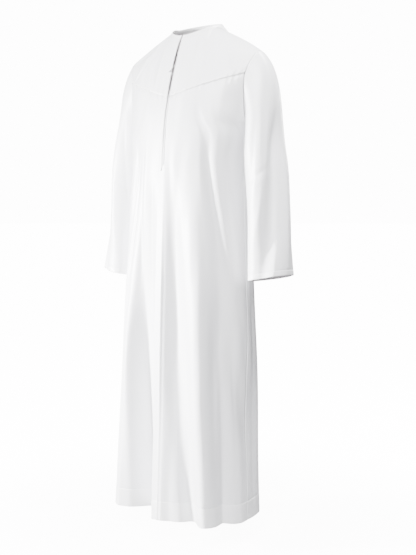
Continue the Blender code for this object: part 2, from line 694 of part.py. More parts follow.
def main():
    """Clears the scene and builds every piece of the robe."""
    for old in list(bpy.data.objects):
        bpy.data.objects.remove(old)
    collection = bpy.data.collections.new("robe")
    bpy.context.scene.collection.children.link(collection)
    points, normals, half = make_front(collection)
    make_bands(collection, points, normals, half)
    make_button(collection, points, normals, half)
    make_back(collection)
    make_binding(collection)
    make_sleeve(1, LEFT_SLEEVE_FOLDS, "sleeve_left", collection)
    make_sleeve(-1, RIGHT_SLEEVE_FOLDS, "sleeve_right", collection)


main()
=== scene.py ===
"""A long white robe with long straight sleeves, filled out as it is worn, dressed on its frame.

Lengths are millimetres along the robe's own directions, in this order: out to the wearer's left,
forward the way the robe faces, and up from the high points of the shoulders. The frame is in
metres, with out along +X, forward along -Y and up along +Z.
"""

import bpy
import numpy as np
from mathutils import Matrix


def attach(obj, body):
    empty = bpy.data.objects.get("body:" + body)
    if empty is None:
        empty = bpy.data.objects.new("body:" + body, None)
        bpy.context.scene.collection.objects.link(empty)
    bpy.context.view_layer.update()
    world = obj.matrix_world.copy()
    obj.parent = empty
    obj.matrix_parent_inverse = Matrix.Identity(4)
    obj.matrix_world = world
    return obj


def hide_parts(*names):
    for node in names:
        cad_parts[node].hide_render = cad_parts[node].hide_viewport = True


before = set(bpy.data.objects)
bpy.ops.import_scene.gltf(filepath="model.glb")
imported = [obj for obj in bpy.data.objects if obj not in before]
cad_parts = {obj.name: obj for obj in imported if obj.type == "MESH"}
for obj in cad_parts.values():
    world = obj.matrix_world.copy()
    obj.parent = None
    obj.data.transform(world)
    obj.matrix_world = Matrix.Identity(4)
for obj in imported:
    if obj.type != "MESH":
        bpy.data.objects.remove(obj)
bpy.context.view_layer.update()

# Front panel. One width of white plain-woven cotton from the hem up to the V-shaped yoke seam, slit
# down the middle to mid chest and pressed with a crease below that. It hangs from the yoke in soft
# folds, and its hem is turned up inside and stitched down.
MM = 0.001
FRONT_SECTIONS = (
    # z_centre, z_edge, half_width, fwd_centre, fwd_edge, fullness, closing, rise_power
    (-1402, -1402, 214, 198, 63, 3.0, 1.00, 1.0),
    (-1190, -1190, 209, 192, 60, 2.8, 1.00, 1.0),
    (-950, -950, 204, 187, 54, 2.6, 1.00, 1.0),
    (-740, -740, 196, 182, 46, 2.5, 1.00, 1.0),
    (-520, -520, 184, 177, 34, 2.5, 1.00, 1.0),
    (-390, -390, 180, 171, 24, 2.5, 1.00, 1.0),
    (-310, -310, 192, 164, 18, 2.4, 1.00, 1.0),
    (-285, -282, 196, 161, 46, 2.3, 0.55, 1.0),
    (-245, -218, 199, 154, 62, 2.3, 0.15, 1.0),
    (-212, -152, 202, 145, 60, 2.2, 0.00, 1.1),
)
UNDERARM_STATION = 6
YOKE_STATION = 9
HEM_Z = FRONT_SECTIONS[0][0]
UNDERARM_Z = FRONT_SECTIONS[UNDERARM_STATION][0]

# The neck seam is an oval in plan that drops to the front. The shoulder seam runs on from it.
NECK_HALF_WIDTH = 79
NECK_FRONT = 83
NECK_BACK = 57
NECK_Z_FRONT = -41
NECK_Z_SIDE = -9
NECK_Z_BACK = 6
NECK_DROP_POWER = 1.8
NECK_RISE_POWER = 1.2
SHOULDER_SEAM_NECK_FWD = 29
SHOULDER_SEAM_END = (220, 25, -90)
SHOULDER_SEAM_CROWN = 2

# Which way the cloth runs as it reaches the top edge: at the middle, the neck's end, the armhole
FRONT_TOP_RUN = ((0, -0.45, 0.89), (-0.05, -0.72, 0.69), (0.10, -0.75, 0.65))
# The back's run at the high point, at this share of the neck, and how fast the side's run gives way
HIGH_POINT_RUN = (-0.55, 0.72, 0.42)
HIGH_POINT_SHARE = 0.8
SIDE_RUN_POWER = 6

# Large folds of the body. girth is 0 at the middle of the front, 1 and -1 at the wearer's left
# and right side seams, and 2 at the middle of the back.
FOLD_FADE = 250
BODY_FOLDS = (
    # girth_top, girth_low, z_top, z_low, width_top, width_low, depth, flatness, growth
    (-0.12, -0.295, -430, -1402, 0.12, 0.29, -80, 0.60, 1.4),
    (0.02, 0.03, -430, -1402, 0.09, 0.12, 7, 1.00, 1.0),
    (-0.42, -0.68, -330, -1402, 0.10, 0.15, 13, 1.00, 0.7),
    (-0.58, -0.88, -300, -1402, 0.08, 0.15, -12, 1.00, 0.7),
    (0.10, 0.37, -400, -1402, 0.10, 0.15, -19, 0.90, 0.8),
    (0.28, 0.54, -300, -1402, 0.14, 0.16, 10, 0.90, 0.8),
    (0.40, 0.84, -235, -1000, 0.07, 0.15, -11, 1.00, 0.5),
    (0.56, 1.02, -240, -900, 0.08, 0.14, 5, 1.00, 0.5),
    (0.74, 0.72, -900, -1402, 0.10, 0.12, -13, 1.00, 0.8),
    (1.44, 1.46, -420, -1402, 0.14, 0.18, -20, 0.90, 0.9),
    (1.60, 1.66, -300, -1402, 0.14, 0.17, 15, 0.90, 0.9),
    (1.88, 1.98, -330, -1402, 0.14, 0.19, -24, 0.90, 0.9),
    (-1.66, -1.68, -300, -1402, 0.14, 0.17, 16, 0.90, 0.9),
    (-1.44, -1.44, -420, -1402, 0.14, 0.18, -20, 0.90, 0.9),
)
ARMHOLE_FLAT = 0.14

# Narrow creases of the front, each on a curve through three girths. width and depth are
# millimetres, and roundness 1 has a sharp bottom or crest while 2 is soft.
HALF_GIRTH = 315
# Share of a crease's height over which each end fades
CREASE_END = 0.3
FRONT_CREASES = (
    # girth_top, girth_middle, girth_low, z_top, z_low, width, depth, roundness
    (-0.280, -0.396, -0.520, -330, -800, 9, -5.4, 1.2),
    (-0.345, -0.440, -0.680, -300, -760, 10, -5.8, 1.2),
    (-0.220, -0.270, -0.330, -300, -820, 10, -4.7, 1.3),
    (-0.185, -0.225, -0.262, -300, -900, 18, 4.7, 1.8),
    (-0.082, -0.115, -0.125, -405, -860, 11, -4.0, 1.5),
    (0.000, 0.012, 0.000, -418, -1900, 9, 4.0, 1.0),
    (0.026, 0.034, 0.024, -418, -1900, 5, -2.3, 1.3),
    (0.060, 0.090, 0.110, -300, -900, 15, -3.2, 1.8),
    (0.300, 0.420, 0.500, -380, -1900, 20, 4.3, 1.8),
    (0.455, 0.590, 0.830, -225, -820, 13, -4.2, 1.5),
    (0.520, 0.660, 0.900, -240, -820, 16, 3.4, 1.7),
    (0.600, 0.600, 0.720, -600, -1700, 15, -4.3, 1.5),
    (0.818, 0.830, 0.855, -800, -1500, 11, -3.2, 1.5),
    (-0.333, -0.340, -0.350, -700, -1700, 15, -4.3, 1.5),
    (-0.780, -0.840, -0.900, -380, -1300, 15, -4.0, 1.5),
    (-0.660, -0.760, -0.800, -300, -1100, 15, 4.3, 1.5),
    (0.020, 0.030, 0.100, -400, -1900, 24, 8.0, 1.4),
    (0.180, 0.205, 0.700, -420, -1900, 24, -17.0, 1.8),
    (0.400, 0.490, 0.560, -420, -1900, 28, 13.0, 1.9),
    (0.620, 0.700, 0.850, -520, -1900, 26, -16.0, 1.8),
    (0.830, 0.880, 0.960, -700, -1900, 24, 4.0, 1.9),
    (-0.370, -0.450, -0.500, -520, -1900, 20, 14.0, 1.7),
    (-0.230, -0.310, -0.350, -480, -1900, 20, -16.0, 1.8),
    (-0.600, -0.660, -0.700, -560, -1900, 24, -7.0, 1.8),
)
# Short creases that run level round the side, under the arm
SIDE_CREASES = (
    # girth, reach, z, slope, width, depth
    (0.88, 0.11, -459, 10, 3.0, -1.6),
    (0.90, 0.13, -338, -60, 5.0, -2.0),
    (-0.90, 0.12, -352, -50, 5.0, -2.0),
    (-0.86, 0.12, -470, 14, 4.0, -1.4),
)
# Slow unevenness of the cloth between its folds, as waves round the body and up it
UNEVENNESS = (
    # waves_round, per_metre_up, phase, depth
    (5, 4.1, 0.3, 0.80),
    (9, -6.3, 1.7, 0.60),
    (15, 5.2, 4.1, 0.45),
    (24, -8.7, 2.2, 0.28),
)

SLIT_END_Z = -400
SLIT_WIDTH = (
    # z, width
    (-435, 0.2), (-402, 0.6), (-330, 2.4), (-225, 4.0),
    (-190, 7.6), (-120, 9.6), (-70, 8.6), (-37, 6.4),
)
RIGHT_BAND_WIDTH = 11.5
LEFT_BAND_WIDTH = 5.0

HEM_DEPTH = 54
HEM_RAISE = 0.35
SEAM_ALLOWANCE = 9
CLOTH_THICK = 0.8
# The front goes in under the yoke by this share of a station. It is tucked in by YOKE_TUCK,
# which starts this far below the seam and is full this much further up.
UNDER_YOKE = 0.05
YOKE_TUCK = 0.6
TUCK_START = 0.03
TUCK_EASE = 0.05
# Stations above the yoke seam where the body's folds are gone, and over which they fade
YOKE_FOLDS_END = 0.4
YOKE_FOLDS_EASE = 1.2
YOKE_SEAM_WIDTH = 4.5
YOKE_SEAM_DEPTH = 1.3

# Points along a section, and rows and columns of the front
SECTION_SAMPLES = 240
BODY_ROWS = 145
CHEST_ROWS = 30
FRONT_COLUMNS_HALF = 92
BAND_COLUMNS = 5
COLUMN_POWER = 1.25


def unit(vectors):
    """Vectors scaled to length 1."""
    return vectors / np.maximum(np.linalg.norm(vectors, axis=-1, keepdims=True), 1e-12)


def smooth(x):
    """A smooth step from 0 to 1: 3x^2 - 2x^3."""
    x = np.clip(x, 0, 1)
    return x * x * (3 - 2 * x)


def raised_cosine(offset):
    """A smooth bump: 0.5 + 0.5 * cos(pi * offset), from 1 at offset 0 down to 0 at 1 and beyond."""
    return np.where(offset < 1, 0.5 + 0.5 * np.cos(np.pi * np.minimum(offset, 1)), 0)


def nearest(values, target):
    """Index of the value that lies nearest to the target."""
    return int(np.argmin(np.abs(values - target)))


def circle(count):
    """Angles in this many equal steps once round."""
    return np.linspace(0, 2 * np.pi, count, endpoint=False)


def stepped(*spans):
    """Rows in spans, each with its first row, last row and count, that share their ends."""
    return np.concatenate([spans[0][:1], *(np.linspace(*each)[1:] for each in spans)])


def along(curve, distances):
    """Points of a polyline at these distances from its start, each column read off by length."""
    reach = np.concatenate([[0.0], np.cumsum(np.linalg.norm(np.diff(curve, axis=0)[:, :3], axis=1))])
    return np.stack([np.interp(distances, reach, curve[:, k]) for k in range(curve.shape[1])], axis=1)


def length_of(curve):
    """Length of a polyline."""
    return float(np.linalg.norm(np.diff(curve, axis=0), axis=1).sum())


def section_curve(row):
    """One level section from the centre line to the side.

    forward = edge + (centre - edge) * (1 - t^fullness)^k, where t is the share of the half width
    and k is 1 for a section open at the armhole and 1 / fullness for one that closes at the side.
    """
    z_centre, z_edge, half_width, fwd_centre, fwd_edge, fullness, closing, rise = row
    t = 1 - (1 - np.linspace(0, 1, SECTION_SAMPLES)) ** 2
    power = 1 / (1 + (fullness - 1) * closing)
    fwd = fwd_edge + (fwd_centre - fwd_edge) * np.maximum(1 - t**fullness, 0) ** power
    return np.stack([half_width * t, fwd, z_centre + (z_edge - z_centre) * t**rise], axis=1)


def neck_point(angle):
    """The neck seam: half width * sin, depth * cos, and a height that follows a power of cos.

    angle is 0 in front, a right angle at the side and pi behind.
    """
    cosine = np.cos(angle)
    front_z = NECK_Z_SIDE + (NECK_Z_FRONT - NECK_Z_SIDE) * np.abs(cosine) ** NECK_DROP_POWER
    back_z = NECK_Z_SIDE + (NECK_Z_BACK - NECK_Z_SIDE) * np.abs(cosine) ** NECK_RISE_POWER
    depth = np.where(cosine > 0, NECK_FRONT, NECK_BACK)
    up = np.where(cosine > 0, front_z, back_z)
    return np.stack([NECK_HALF_WIDTH * np.sin(angle), depth * cosine, up], axis=1)


def top_curve(start_angle):
    """The top edge from the middle: neck seam, then a crowned line along the shoulder seam.

    Returns the curve and the share of its length that is neck.
    """
    seam_angle = np.arccos(SHOULDER_SEAM_NECK_FWD / NECK_FRONT)
    neck = neck_point(np.linspace(start_angle, seam_angle, SECTION_SAMPLES))
    t = np.linspace(0, 1, SECTION_SAMPLES)[:, None]
    seam = neck[-1] + (np.array(SHOULDER_SEAM_END) - neck[-1]) * t
    seam[:, 2] += SHOULDER_SEAM_CROWN * np.sin(np.pi * t[:, 0])
    curve = np.concatenate([neck, seam[1:]])
    return curve, length_of(neck) / length_of(curve)


def blended_run(share, knots, runs):
    """Unit directions between the given ones, by share of the edge's length."""
    runs = np.array(runs, float)
    return unit(np.stack([np.interp(share, knots, runs[:, k]) for k in range(3)], axis=1))


def interior_runs(stations):
    """Unit direction of the cloth at each station: its two chords, each weighted by the other."""
    chords = np.diff(stations, axis=0)
    lengths = np.maximum(np.linalg.norm(chords, axis=2, keepdims=True), 1e-9)
    units = chords / lengths
    middle = unit(units[:-1] * lengths[1:] + units[1:] * lengths[:-1])
    return np.concatenate([units[:1], middle, units[-1:]])


def loft(stations, runs, rows):
    """The surface through the stations: in each column, a chain of cubic Hermite curves.

    Their end slopes are the runs times the distance between two stations. Row 2.5 lies half way
    between stations 2 and 3. rows is one list, or a grid with a column for each of the loft's.
    """
    rows = np.asarray(rows, float)
    rows = rows[:, None] + np.zeros(stations.shape[1]) if rows.ndim == 1 else rows
    first = np.clip(rows.astype(int), 0, len(stations) - 2)
    column = np.arange(stations.shape[1])
    t = (rows - first)[..., None]
    low, high = stations[first, column], stations[first + 1, column]
    chord = np.linalg.norm(high - low, axis=2, keepdims=True)
    return (
        (2 * t**3 - 3 * t**2 + 1) * low
        + (t**3 - 2 * t**2 + t) * chord * runs[first, column]
        + (3 * t**2 - 2 * t**3) * high
        + (t**3 - t**2) * chord * runs[first + 1, column]
    )


def half_panel(sections, start_angle, top_run, shares, inset=(), band=0.0):
    """Stations and runs of one half of the front or back.

    shares count from the band's edge, or the middle, to the side. inset adds columns within the
    band, at these distances from the middle.
    """
    top, neck_share = top_curve(start_angle)
    corner = shares[np.argmin(np.abs(shares - neck_share))]
    stations = []
    for curve in [*[section_curve(row) for row in sections], top]:
        whole = length_of(curve)
        knots, ends = [0, 1], [band, whole]
        if curve is top and 0 < corner < 1:
            knots, ends = [0, corner, 1], [band, whole * neck_share, whole]
        stations.append(along(curve, np.concatenate([inset, np.interp(shares, knots, ends)])))
    stations = np.array(stations)
    runs = interior_runs(stations)
    shares = np.concatenate([np.zeros(len(inset)), shares])
    below = unit(stations[UNDERARM_STATION] - stations[UNDERARM_STATION - 1])
    weight = shares[:, None] ** SIDE_RUN_POWER
    runs[UNDERARM_STATION] = unit(weight * below + (1 - weight) * runs[UNDERARM_STATION])
    knots, given = [0, neck_share, 1], list(top_run)
    if start_angle > 0:
        knots.insert(1, HIGH_POINT_SHARE * neck_share)
        given.insert(1, HIGH_POINT_RUN)
    runs[-1] = blended_run(shares, knots, given)
    return stations, runs


def rows_at(sections, heights):
    """Rows of the loft at these heights, where the sections are level."""
    return np.interp(heights, [row[0] for row in sections], np.arange(len(sections)))


def body_fold_depth(girth, up):
    """The large folds: each is a raised cosine across, and grows as a power of the way down."""
    depth = np.zeros_like(up)
    for g_top, g_low, z_top, z_low, w_top, w_low, low_depth, flatness, growth in BODY_FOLDS:
        share = np.clip((z_top - up) / (z_top - z_low), 0, 1.4)
        width = w_top + (w_low - w_top) * share
        offset = np.abs((girth - g_top - (g_low - g_top) * share + 2) % 4 - 2) / width
        shape = raised_cosine(offset)
        fade = smooth((up - z_low + FOLD_FADE) / FOLD_FADE) if z_low > HEM_Z else 1
        depth += low_depth * np.minimum(share, 1) ** growth * shape**flatness * fade
    return depth


def crease_depth(girth, up, creases, half_girth=HALF_GIRTH):
    """Narrow creases: depth * exp(-(distance / width)^roundness), faded out over both ends.

    The distance is measured round the body from a parabola through the crease's three girths.
    """
    depth = np.zeros_like(up)
    for g_top, g_middle, g_low, z_top, z_low, width, high, roundness in creases:
        t = (z_top - up) / (z_top - z_low)
        inside = np.clip(t, 0, 1)
        centre = g_top * (1 - inside) * (1 - 2 * inside) + 4 * g_middle * inside * (1 - inside)
        centre += g_low * inside * (2 * inside - 1)
        offset = np.abs(girth - centre) * half_girth / width
        ends = smooth(t / CREASE_END) * smooth((1 - t) / CREASE_END)
        depth += high * ends * np.exp(-(offset**roundness))
    return depth


def level_crease_depth(girth, up, creases):
    """Level creases: a Gaussian in height round a sloping line, and a Gaussian round the cloth."""
    depth = np.zeros_like(up)
    for middle, reach, z, slope, width, high in creases:
        offset = (up - z - slope * (girth - middle) / reach) / width
        depth += high * np.exp(-(offset**2) - ((girth - middle) / reach) ** 2)
    return depth


def unevenness(girth, up):
    """Slow waves: a sum of sines of whole waves round the body and of the height."""
    depth = np.zeros_like(up)
    for waves, per_metre, phase, high in UNEVENNESS:
        depth += high * np.sin(waves * np.pi / 2 * girth + per_metre * up * MM * 2 * np.pi / 3 + phase)
    return depth


def edge_fade(girth, rows):
    """0 at the armhole's edge and 1 away from it, and 1 everywhere below the armhole."""
    gap = np.abs(np.abs((girth + 2) % 4 - 2) - 1)
    above = smooth(np.asarray(rows)[:, None] - (UNDERARM_STATION - 1))
    return 1 - above * (1 - smooth(gap / ARMHOLE_FLAT))


def grid_normals(points, wrap=False):
    """Outward unit normals of a grid whose rows climb and whose columns run anticlockwise."""
    if wrap:
        across = np.roll(points, -1, axis=1) - np.roll(points, 1, axis=1)
    else:
        across = np.gradient(points, axis=1)
    return unit(np.cross(np.gradient(points, axis=0), across))


def panel_normals(points, rows, sides):
    """Normals of a body panel, level with the next panel's at its side seams.

    sides has the sign of the side seam at the first and the last column.
    """
    normals = grid_normals(points)
    for column, side in zip((0, -1), sides):
        normals[rows <= UNDERARM_STATION, column] = (side, 0, 0)
    return normals


def folded(points, depth, rows, sides):
    """The panel moved out along its normals by depth, and the normals that it has then."""
    points = points + panel_normals(points, rows, sides) * depth[..., None]
    return points, panel_normals(points, rows, sides)


def way_along(points, axis, start=0):
    """Distance of each point of a grid from the start row or column, measured on the cloth."""
    steps = np.linalg.norm(np.diff(points, axis=axis), axis=2)
    first = np.zeros_like(np.take(steps, [0], axis=axis))
    way = np.cumsum(np.concatenate([first, steps], axis=axis), axis=axis)
    return way - np.take(way, [start], axis=axis)


def groove(distance, width, depth):
    """A narrow sewn groove: -depth * exp(-(distance / width)^2)."""
    return -depth * np.exp(-((distance / width) ** 2))


def pucker(way, distance, reach, depth):
    """Small uneven puckers along a line of stitches, which die away over reach on both sides."""
    beat = np.sin(way / 2.7) + 0.7 * np.sin(way / 4.3 + 1.3) + 0.6 * np.sin(way / 7.9 + 0.4)
    return depth * beat * np.exp(-((distance / reach) ** 2))


def turned_up(edge_way, depth):
    """1 where the cloth is turned up, from its edge as far as the stitching, and 0 beyond."""
    return 1 - smooth((edge_way - depth + 1) / 2)


def hem_relief(edge_way, across_way, depth, raise_by):
    """A turned-up hem: raised a little as far as its stitching, with a groove and puckers there."""
    raised = raise_by * turned_up(edge_way, depth)
    line = groove(edge_way - depth, 1.7, 0.75) + pucker(across_way, edge_way - depth, 10, 0.13)
    return raised + line - 0.4 * np.exp(-edge_way / 1.2)


def seam_relief(seam_way, up_way):
    """A plain seam: the cloth dips into it, and the edge of its pressed allowance shows beside it."""
    dip = groove(seam_way, 1.8, 0.8) + groove(seam_way - SEAM_ALLOWANCE, 2.2, 0.22)
    return dip + pucker(up_way, seam_way, 8, 0.10)


def side_seam_relief(points):
    """The plain seams down both sides of a body panel."""
    up_way = way_along(points, 0)
    return sum(seam_relief(np.abs(way_along(points, 1, column)), up_way) for column in (0, -1))


def slit_half_width(up):
    """Half the width of the front opening at this height."""
    heights, widths = np.array(SLIT_WIDTH, float).T
    return np.interp(up, heights, widths) / 2


def front_grid(rows, half_columns=FRONT_COLUMNS_HALF, band_columns=BAND_COLUMNS):
    """The folded front at these rows, its normals, girths and the first column of its left half.

    Columns lie closer together near the middle, as a power of the share of the half girth.
    """
    rows = np.asarray(rows, float)
    shares = np.linspace(0, 1, half_columns) ** COLUMN_POWER
    halves, insets = [], []
    for band, side in ((RIGHT_BAND_WIDTH, -1), (LEFT_BAND_WIDTH, 1)):
        inset = np.linspace(0, band, band_columns, endpoint=False)
        stations, runs = half_panel(FRONT_SECTIONS, 0.0, FRONT_TOP_RUN, shares, inset, band)
        halves.append(loft(stations, runs, rows) * [side, 1, 1])
        insets.append(np.concatenate([1 - inset / band, np.zeros(half_columns)]))
    girth = np.concatenate([np.zeros(band_columns), shares])
    points = np.concatenate([halves[0][:, ::-1], halves[1]], axis=1)
    girth = np.broadcast_to(np.concatenate([-girth[::-1], girth]), points.shape[:2])
    up = points[..., 2]
    climb = np.clip(rows - YOKE_STATION, 0, 1)[:, None] * np.ones_like(girth)
    soft = body_fold_depth(girth, up) + crease_depth(girth, up, FRONT_CREASES)
    soft += level_crease_depth(girth, up, SIDE_CREASES) + unevenness(girth, up)
    depth = soft * smooth((YOKE_STATION + YOKE_FOLDS_END - rows) / YOKE_FOLDS_EASE)[:, None]
    depth += yoke_fold_depth(girth, climb)
    depth *= edge_fade(girth, rows)
    depth += side_seam_relief(points)
    points, normals = folded(points, depth, rows, (-1, 1))
    middle = band_columns + half_columns
    width = slit_half_width(points[:, middle, 2])[:, None]
    points[:, :middle, 0] -= width * insets[0][::-1]
    points[:, middle:, 0] += width * insets[1]
    return points, normals, girth, middle


# Drag folds of the yoke, which run from the neck down to the yoke seam
YOKE_FOLDS = (
    # girth_top, girth_low, width, depth
    (-0.26, -0.30, 0.050, 4.5),
    (-0.34, -0.47, 0.055, -6.5),
    (-0.40, -0.60, 0.050, 6.5),
    (-0.50, -0.78, 0.060, -5.5),
    (-0.22, -0.22, 0.020, -2.6),
    (-0.29, -0.36, 0.020, -2.8),
    (-0.36, -0.53, 0.020, 2.8),
    (-0.44, -0.68, 0.024, -3.0),
    (-0.30, -0.42, 0.016, 2.2),
    (-0.47, -0.86, 0.022, 2.4),
    (-0.12, -0.10, 0.030, -0.9),
    (0.10, 0.08, 0.030, 0.8),
    (0.24, 0.30, 0.050, -1.6),
    (0.32, 0.46, 0.060, 1.6),
    (0.42, 0.66, 0.070, -1.8),
    (0.55, 0.84, 0.070, 1.6),
)
# climb and its reach, the girth where it starts and the girth over which it grows, depth
SHOULDER_HOLLOW = (0.80, 0.10, 0.42, 0.25, 4.0)


def yoke_fold_depth(girth, climb):
    """Drag folds: raised cosines that fan out from the neck, deepest half way down the yoke.

    A soft Gaussian hollow runs below each shoulder seam, out from the neck.
    """
    level, reach, start, ease, deep = SHOULDER_HOLLOW
    depth = -deep * np.exp(-(((climb - level) / reach) ** 2))
    depth *= smooth((np.abs(girth) - start) / ease)
    for g_top, g_low, width, high in YOKE_FOLDS:
        middle = g_low + (g_top - g_low) * climb
        offset = np.abs(girth - middle) / (width * (1.6 - 0.9 * climb))
        shape = raised_cosine(offset)
        depth += high * shape * np.sin(np.pi * climb)
    return depth


def to_frame(points):
    """(out, forward, up) in millimetres to X, Y and Z in metres."""
    return points * np.array([1, -1, 1]) * MM


def object_of(name, points, faces, *finishes):
    """An object at the origin, smooth shaded, from points in millimetres and faces."""
    mesh = bpy.data.meshes.new(name)
    mesh.from_pydata(to_frame(points).reshape(-1, 3), [], faces)
    for finish in finishes:
        mesh.materials.append(finish)
    mesh.shade_smooth()
    piece = bpy.data.objects.new(name, mesh)
    bpy.context.scene.collection.objects.link(piece)
    return piece


def lay_flat(piece, flat, double):
    """Gives the cloth its UV map in metres, by face corner, and its attribute layers, by point."""
    uv = piece.data.uv_layers.new(name="flat")
    uv.data.foreach_set("uv", flat.ravel().astype(np.float32))
    piece.data.attributes.new("layers", "FLOAT", "POINT").data.foreach_set("value", double.ravel())


def cloth_shell(name, points, finish, double, thickness=CLOTH_THICK, wrap=False, keep=None, middle=0):
    """A thin shell through a grid, given its thickness inwards by Solidify.

    The UV map is the cloth's own flat surface: U is the way across each row from the middle
    column, V is the way up each column. double is 1 where the cloth lies double.
    """
    rows, columns = points.shape[:2]
    ring = np.concatenate([points, points[:, :1]], axis=1) if wrap else points
    u, v = way_along(ring, 1, middle) * MM, way_along(ring, 0) * MM
    index = np.arange(rows * columns).reshape(rows, columns)
    index = np.concatenate([index, index[:, :1]], axis=1) if wrap else index
    corners = [(slice(None, -1), slice(None, -1)), (slice(None, -1), slice(1, None))]
    corners += [(slice(1, None), slice(1, None)), (slice(1, None), slice(None, -1))]
    faces = np.stack([index[c] for c in corners], axis=2)
    flat = np.stack([np.stack([u[c], v[c]], axis=2) for c in corners], axis=2)
    if keep is not None:
        faces, flat = faces[keep], flat[keep]
    # Its inner faces take the darker copy of the cotton, which is painted shade.
    piece = object_of(name, points, faces.reshape(-1, 4).tolist(), finish, SHADED_INSIDE_COTTON)
    lay_flat(piece, flat, double)
    wall = piece.modifiers.new("cloth", "SOLIDIFY")
    wall.thickness = thickness * MM
    wall.offset = -1
    wall.use_even_offset = False
    wall.material_offset = 1
    return piece


def feed(tree, fed, given):
    """Sets a node's inputs. Each is given a value, or the output that feeds it."""
    for socket, value in given.items():
        if isinstance(value, bpy.types.NodeSocket):
            tree.links.new(value, fed.inputs[socket])
        else:
            fed.inputs[socket].default_value = value
    return fed


def node(tree, kind, given, **settings):
    """A new shader node of this kind, with its settings and then its inputs."""
    made = tree.nodes.new("ShaderNode" + kind)
    for name, value in settings.items():
        setattr(made, name, value)
    return feed(tree, made, given)


def times(tree, one, other):
    """The product of two outputs, or of an output and a number."""
    return node(tree, "Math", {0: one, 1: other}, operation="MULTIPLY").outputs[0]


def new_material(name):
    """A material with nodes, its node tree and its principled shader."""
    made = bpy.data.materials.new(name)
    made.use_nodes = True
    return made, made.node_tree, made.node_tree.nodes["Principled BSDF"]


WEAVE_NOISE = (
    # output, per_metre_across, per_metre_up, detail
    ("Streak", 650.0, 5.0, 2.0),
    ("Cloud", 9.0, 5.0, 3.0),
)


def weave_group():
    """Plain weave, from the cloth's own UV in metres.

    Height is sin(warp) * sin(weft), which swells one thread over the other in turn. Streak is
    noise drawn out along the warp, where a thread is spun thicker. Cloud is slow mottling.
    """
    group = bpy.data.node_groups.new("plain weave", "ShaderNodeTree")
    for label, kind in (("UV", "Vector"), ("Threads per metre", "Float"), ("Slub width", "Float")):
        group.interface.new_socket(label, in_out="INPUT", socket_type="NodeSocket" + kind)
    for label in ("Height", "Streak", "Cloud"):
        group.interface.new_socket(label, in_out="OUTPUT", socket_type="NodeSocketFloat")
    start, end = group.nodes.new("NodeGroupInput"), group.nodes.new("NodeGroupOutput")
    split = node(group, "SeparateXYZ", {0: start.outputs["UV"]})
    waves = []
    for axis in ("X", "Y"):
        turns = times(group, split.outputs[axis], start.outputs["Threads per metre"])
        angle = times(group, turns, np.pi)
        waves.append(node(group, "Math", {0: angle}, operation="SINE").outputs[0])
    feed(group, end, {"Height": times(group, *waves)})
    for label, across, up, detail in WEAVE_NOISE:
        scales = (("X", across), ("Y", up))
        drawn = node(group, "CombineXYZ", {a: times(group, split.outputs[a], s) for a, s in scales})
        noise = node(group, "TexNoise", {"Vector": drawn.outputs[0], "Scale": 1.0, "Detail": detail})
        if label == "Streak":
            feed(group, noise, {"Distortion": start.outputs["Slub width"]})
        feed(group, end, {label: noise.outputs[0]})
    return group


WEAVE = weave_group()
THREADS = 2900
THREAD_RELIEF = 0.05
SLUB_WIDTH = 0.3
SLUB_RELIEF = 1.6
STREAK_SHADE = (0.955, 0.955, 0.97)
CLOUD_SHADE = (0.975, 0.975, 0.985)
ROUGHNESS_SPREAD = 0.06


def cotton(name, colour, double_colour, roughness):
    """White cotton: a principled surface with woven bump, faint streaks and denser double cloth."""
    made, tree, shader = new_material(name)
    flat = node(tree, "UVMap", {}, uv_map="flat")
    given = {"UV": flat.outputs[0], "Threads per metre": THREADS, "Slub width": SLUB_WIDTH}
    weave = node(tree, "Group", given, node_tree=WEAVE)
    streak, cloud, threads = (weave.outputs[label] for label in ("Streak", "Cloud", "Height"))
    double = node(tree, "Attribute", {}, attribute_name="layers")
    shade = [part * dimmed for part, dimmed in zip(colour, STREAK_SHADE)]
    amount = node(tree, "MapRange", {"Value": streak, "From Min": 0.30, "From Max": 0.62})
    given = {"Factor": amount.outputs[0], "A": (*shade, 1), "B": (*colour, 1)}
    streaked = node(tree, "Mix", given, data_type="RGBA")
    amount = node(tree, "MapRange", {"Value": cloud, "From Min": 0.45, "From Max": 0.75})
    given = {"Factor": amount.outputs[0], "A": streaked.outputs["Result"], "B": (*CLOUD_SHADE, 1)}
    mottled = node(tree, "Mix", given, data_type="RGBA", blend_type="MULTIPLY")
    given = {"Factor": double.outputs["Fac"], "A": mottled.outputs["Result"], "B": (*double_colour, 1)}
    layered = node(tree, "Mix", given, data_type="RGBA")
    low, high = roughness - ROUGHNESS_SPREAD, roughness + ROUGHNESS_SPREAD
    rough = node(tree, "MapRange", {"Value": streak, "To Min": low, "To Max": high})
    height = node(tree, "Math", {0: streak, 1: SLUB_RELIEF, 2: threads}, operation="MULTIPLY_ADD")
    given = {"Strength": 0.25, "Distance": THREAD_RELIEF * MM, "Height": height.outputs[0]}
    bump = node(tree, "Bump", given)
    given = {"Base Color": layered.outputs["Result"], "Roughness": rough.outputs[0]}
    feed(tree, shader, given | {"Normal": bump.outputs[0], "Specular IOR Level": 0.8})
    feed(tree, shader, {"Sheen Weight": 0.08, "Sheen Roughness": 0.45})
    return made


ROBE_COTTON = cotton("robe cotton", (0.885, 0.885, 0.90), (0.91, 0.91, 0.92), 0.44)
# The inner faces get a darker, pinkish copy of the robe cotton: painted shade for the inside of the
# robe, which is the same white cloth as the outside.
SHADED_INSIDE_COTTON = cotton("robe cotton inside, painted shade", (0.80, 0.775, 0.785), (0.82, 0.80, 0.81), 0.60)

STITCH_LENGTH = 2.6
STITCH_PITCH = 3.5
STITCH_RADIUS = 0.26
STITCH_RINGS = (
    # reach_share, size_share, dip
    (-0.5, 0.3, 0.30),
    (-0.3, 1, 0),
    (0.3, 1, 0),
    (0.5, 0.3, 0.30),
)
STITCH_CORNERS = 5
STITCH_LIFT = 0.12
THREAD, tree, shader = new_material("white thread")
feed(tree, shader, {"Base Color": (0.90, 0.90, 0.91, 1), "Roughness": 0.5})


